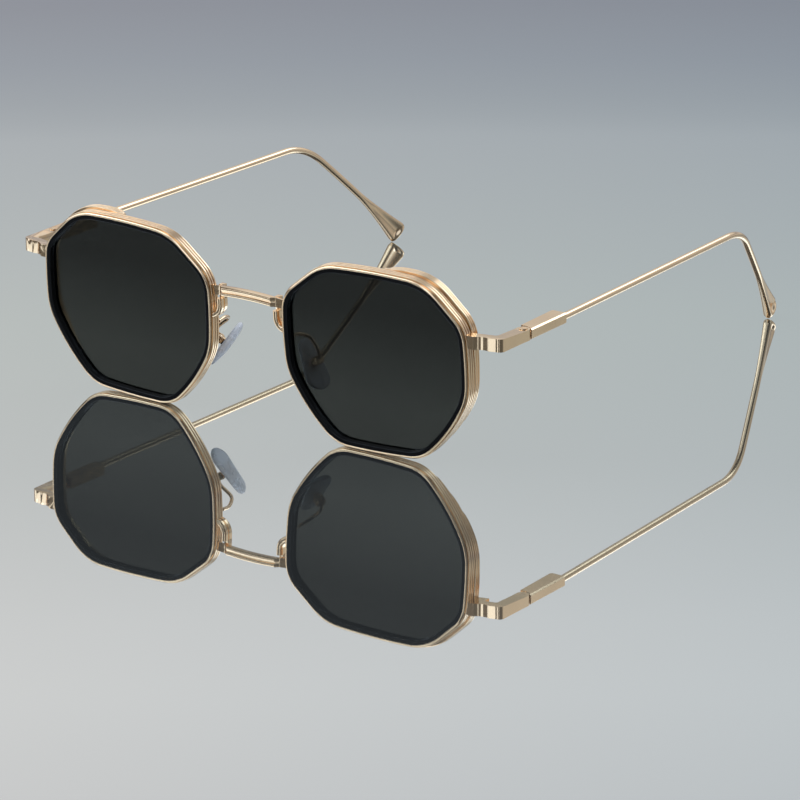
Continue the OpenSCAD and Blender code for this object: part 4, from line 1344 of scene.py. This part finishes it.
def cageMesh():
    # two cheeks with round ends, joined by a base
    size = padSizes
    half = size["lugThick"] / 2 + size["clear"] + size["cheek"]
    base, tall = size["lug"] + 2 * size["clear"], size["lugTall"] / 2
    rear = base + size["cheek"]
    start, end = size["cheekSpan"]
    plan = [polar(size["lug"], mix(start, end, k / 20)) for k in range(21)]
    plan += [Vector((rear, -tall)), Vector((rear, tall))]
    parts = []
    for low, high in ((-half, -half + size["cheek"]), (half - size["cheek"], half)):
        parts.append(solidOf([[Vector((p.x, y, p.y)) for p in plan] for y in (low, high)]))
    corners = [(base, -half), (rear, -half), (rear, half), (base, half)]
    parts.append(solidOf([[Vector((x, y, z)) for x, y in corners] for z in (-tall, tall)]))
    return joined([withModifiers(part, bevel(size["cageEdge"], 3, 40)) for part in parts])


for side in sides:
    pad, body = padMesh(), "pad_" + side
    addPart("nose_pad_" + side, "_soft", pad, "clear_pad", padSizes["sharpFrom"], padFrame, side, body)
    tube = {
        "Wire Radius": padSizes["wire"], "Sides": padSizes["wireSides"], "Material": finishes["gold_metal"],
    }
    arm = sweptByNodes(wireTube, tube, padArmRoute(), False)
    fixedOutwards(arm)
    cage = cageMesh()
    cage.transform(padToFront)
    arm = joined([arm, cage])
    addPart("pad_arm_" + side, "_bent", arm, "gold_metal", padSizes["armSharpFrom"], frontFrame, side)
print("nose pads ready")

# stage and light
stageSettings = {
    # height of the looking direction, and the backdrop colour there
    "backdrop": [
        (0.0, (0.63, 0.655, 0.67)),
        (0.12, (0.565, 0.59, 0.62)),
        (0.2, (0.34, 0.37, 0.43)),
        (0.2458, (0.38, 0.405, 0.465)),
        (0.258, (0.43, 0.47, 0.53)),
        (0.268, (0.495, 0.54, 0.585)),
        (0.2735, (0.565, 0.61, 0.65)),
        (0.31, (0.66, 0.715, 0.715)),
        (0.34, (0.7, 0.74, 0.75)),
        (0.3713, (0.815, 0.845, 0.86)),
        (0.385, (0.84, 0.87, 0.885)),
        (0.41, (0.795, 0.82, 0.84)),
        (0.5, (0.76, 0.88, 1.0)),
        (0.64, (0.76, 0.88, 1.0)),
        (0.76, (0.16, 0.17, 0.18)),
        (1.0, (0.1, 0.105, 0.11)),
    ],
    "frontShare": 0.2,  # how bright the room in front is, beside the backdrop behind
    "frontFrom": 0.35,
    "frontTo": 0.0,
    "across": (0.815, 0.58, 0.0),  # towards the darker side of the backdrop
    "acrossReach": 0.085,
    "nearTint": (1.0, 0.95, 0.94, 1),
    "farTint": (0.86, 0.86, 0.88, 1),
    "backdropLight": 1.06,
    "surround": 0.8,
    "surroundColour": (0.95, 0.98, 1.0, 1),
    "table": (0.5, 0.53, 0.53, 1),
    "mirror": (0.68, 0.7, 0.69, 1),
    "mirrorShare": 0.97,
    "mirrorRough": 0.015,
    "tableHalf": 3,
    "tableDrop": 0.0001,  # keeps the table just under the glasses
}


def makeFloor():
    half = stageSettings["tableHalf"]
    corners = [(-half, -half, 0), (half, -half, 0), (half, half, 0), (-half, half, 0)]
    mesh = meshOf(corners, [(0, 1, 2, 3)], "floor")
    material = bpy.data.materials.new("mirrorTable")
    material.use_nodes = True
    tree = material.node_tree
    tree.nodes.clear()
    diffuse = addNode(tree, "ShaderNodeBsdfDiffuse", {"Color": stageSettings["table"]})
    mirror = {"Color": stageSettings["mirror"], "Roughness": stageSettings["mirrorRough"]}
    glossy = addNode(tree, "ShaderNodeBsdfAnisotropic", mirror)
    shares = {0: stageSettings["mirrorShare"], 1: diffuse.outputs[0], 2: glossy.outputs[0]}
    blend = addNode(tree, "ShaderNodeMixShader", shares)
    addNode(tree, "ShaderNodeOutputMaterial", {"Surface": blend.outputs[0]})
    mesh.materials.append(material)
    floor = bpy.data.objects.new("floor", mesh)
    scene.collection.objects.link(floor)
    floor.location = (0, 0, -stageSettings["tableDrop"])


def makeWorld():
    world = bpy.data.worlds.new("studio")
    scene.world = world
    world.use_nodes = True
    tree = world.node_tree
    tree.nodes.clear()
    way = addNode(tree, "ShaderNodeTexCoord").outputs["Generated"]
    split = addNode(tree, "ShaderNodeSeparateXYZ", {0: way})
    ramp = addNode(tree, "ShaderNodeValToRGB", {0: addMath(tree, "ABSOLUTE", split.outputs["Z"])})
    stops = stageSettings["backdrop"]
    for element, (position, colour) in zip(ramp.color_ramp.elements, (stops[0], stops[-1])):
        element.position = position
        element.color = (*colour, 1)
    for position, colour in stops[1:-1]:
        ramp.color_ramp.elements.new(position).color = (*colour, 1)
    # the room in front is darker than the backdrop behind
    room = spread(
        tree, split.outputs["Y"], stageSettings["frontTo"], stageSettings["frontFrom"],
        stageSettings["frontShare"], 1.0,
    )
    # and its colour changes a little from one side to the other
    across = {0: way, 1: stageSettings["across"]}
    aside = addNode(tree, "ShaderNodeVectorMath", across, operation="DOT_PRODUCT").outputs["Value"]
    far = spread(tree, aside, -stageSettings["acrossReach"], stageSettings["acrossReach"])
    shade = addMix(tree, far, stageSettings["nearTint"], stageSettings["farTint"])
    seen = addNode(tree, "ShaderNodeBackground", {
        "Color": addMix(tree, 1.0, ramp.outputs[0], shade, "MULTIPLY"),
        "Strength": addMath(tree, "MULTIPLY", room, stageSettings["backdropLight"]),
    })
    surround = {"Color": stageSettings["surroundColour"], "Strength": stageSettings["surround"]}
    light = addNode(tree, "ShaderNodeBackground", surround)
    # seen directly, in a mirror or through a lens; all other rays get an even light
    path = addNode(tree, "ShaderNodeLightPath").outputs
    either = addMath(tree, "MAXIMUM", path["Is Camera Ray"], path["Is Glossy Ray"])
    either = addMath(tree, "MAXIMUM", either, path["Is Transmission Ray"])
    blend = addNode(tree, "ShaderNodeMixShader", {0: either, 1: light.outputs[0], 2: seen.outputs[0]})
    addNode(tree, "ShaderNodeOutputWorld", {"Surface": blend.outputs[0]})


lamps = {
    # azimuth and elevation from the glasses in degrees, distance, size, and how bright the lamp looks
    "overhead": (-35.5, 67, 1.02, (1.3, 0.9), 0.92),
    "front": (-1, 22, 1.1, (0.3, 0.7), 1.65),
    "left": (-72, 24, 1.1, (0.8, 0.72), 1.6),
    "high": (-47, 43, 1.1, (0.8, 0.42), 1.65),
    "right": (29, 20, 1.1, (0.1, 0.5), 1.3),
    "low": (-34, 6, 1.1, (0.5, 0.13), 1.5),
    "back": (163, 39, 1.2, (0.62, 0.42), 2.0),
}
lampColour = (0.71, 0.83, 1.0)
lampAim = (0, -0.06, 0.02)


def wayTo(azimuth, elevation):
    # direction from the glasses, with azimuth 0 in front of them and 90 on their right side
    a, e = math.radians(azimuth), math.radians(elevation)
    return Vector((math.sin(a) * math.cos(e), -math.cos(a) * math.cos(e), math.sin(e)))


def makeLamps():
    for name, (azimuth, elevation, away, size, glow) in lamps.items():
        way = wayTo(azimuth, elevation)
        data = bpy.data.lights.new(name, "AREA")
        data.shape = "RECTANGLE"
        data.size, data.size_y = size
        data.energy = glow * math.pi * data.size * data.size_y / lampColour[1]
        data.color = lampColour
        lamp = bpy.data.objects.new(name, data)
        scene.collection.objects.link(lamp)
        lamp.location = Vector(lampAim) + way * away
        lamp.rotation_euler = (-way).to_track_quat("-Z", "Y").to_euler()


cameraSettings = {
    "azimuth": 35.4642,
    "elevation": 19.1114,
    "roll": -0.349,
    "away": (35.1929, 6.6198, 1096.068),  # to the right, up and back from the aim, in mm
    "aim": (0, place["frontBack"], -0.3342),
    "lens": 210.77,
}


def makeCamera():
    back = wayTo(cameraSettings["azimuth"], cameraSettings["elevation"])
    roll = math.radians(cameraSettings["roll"])
    across = Vector((0, 0, 1)).cross(back).normalized()
    above = back.cross(across)
    right = math.cos(roll) * across + math.sin(roll) * above
    upward = -math.sin(roll) * across + math.cos(roll) * above
    asideBy, upBy, backBy = cameraSettings["away"]
    spot = back * backBy + right * asideBy + upward * upBy + Vector(cameraSettings["aim"])
    data = bpy.data.cameras.new("camera")
    data.sensor_width = 36
    data.lens = cameraSettings["lens"]
    data.clip_start = 0.01
    camera = bpy.data.objects.new("camera", data)
    scene.collection.objects.link(camera)
    turned = Matrix((right, upward, back)).transposed().to_4x4()
    camera.matrix_world = Matrix.Translation(spot * mm) @ turned
    scene.camera = camera


makeFloor()
makeWorld()
makeLamps()
makeCamera()
scene.view_settings.view_transform = "Standard"
print("stage ready")
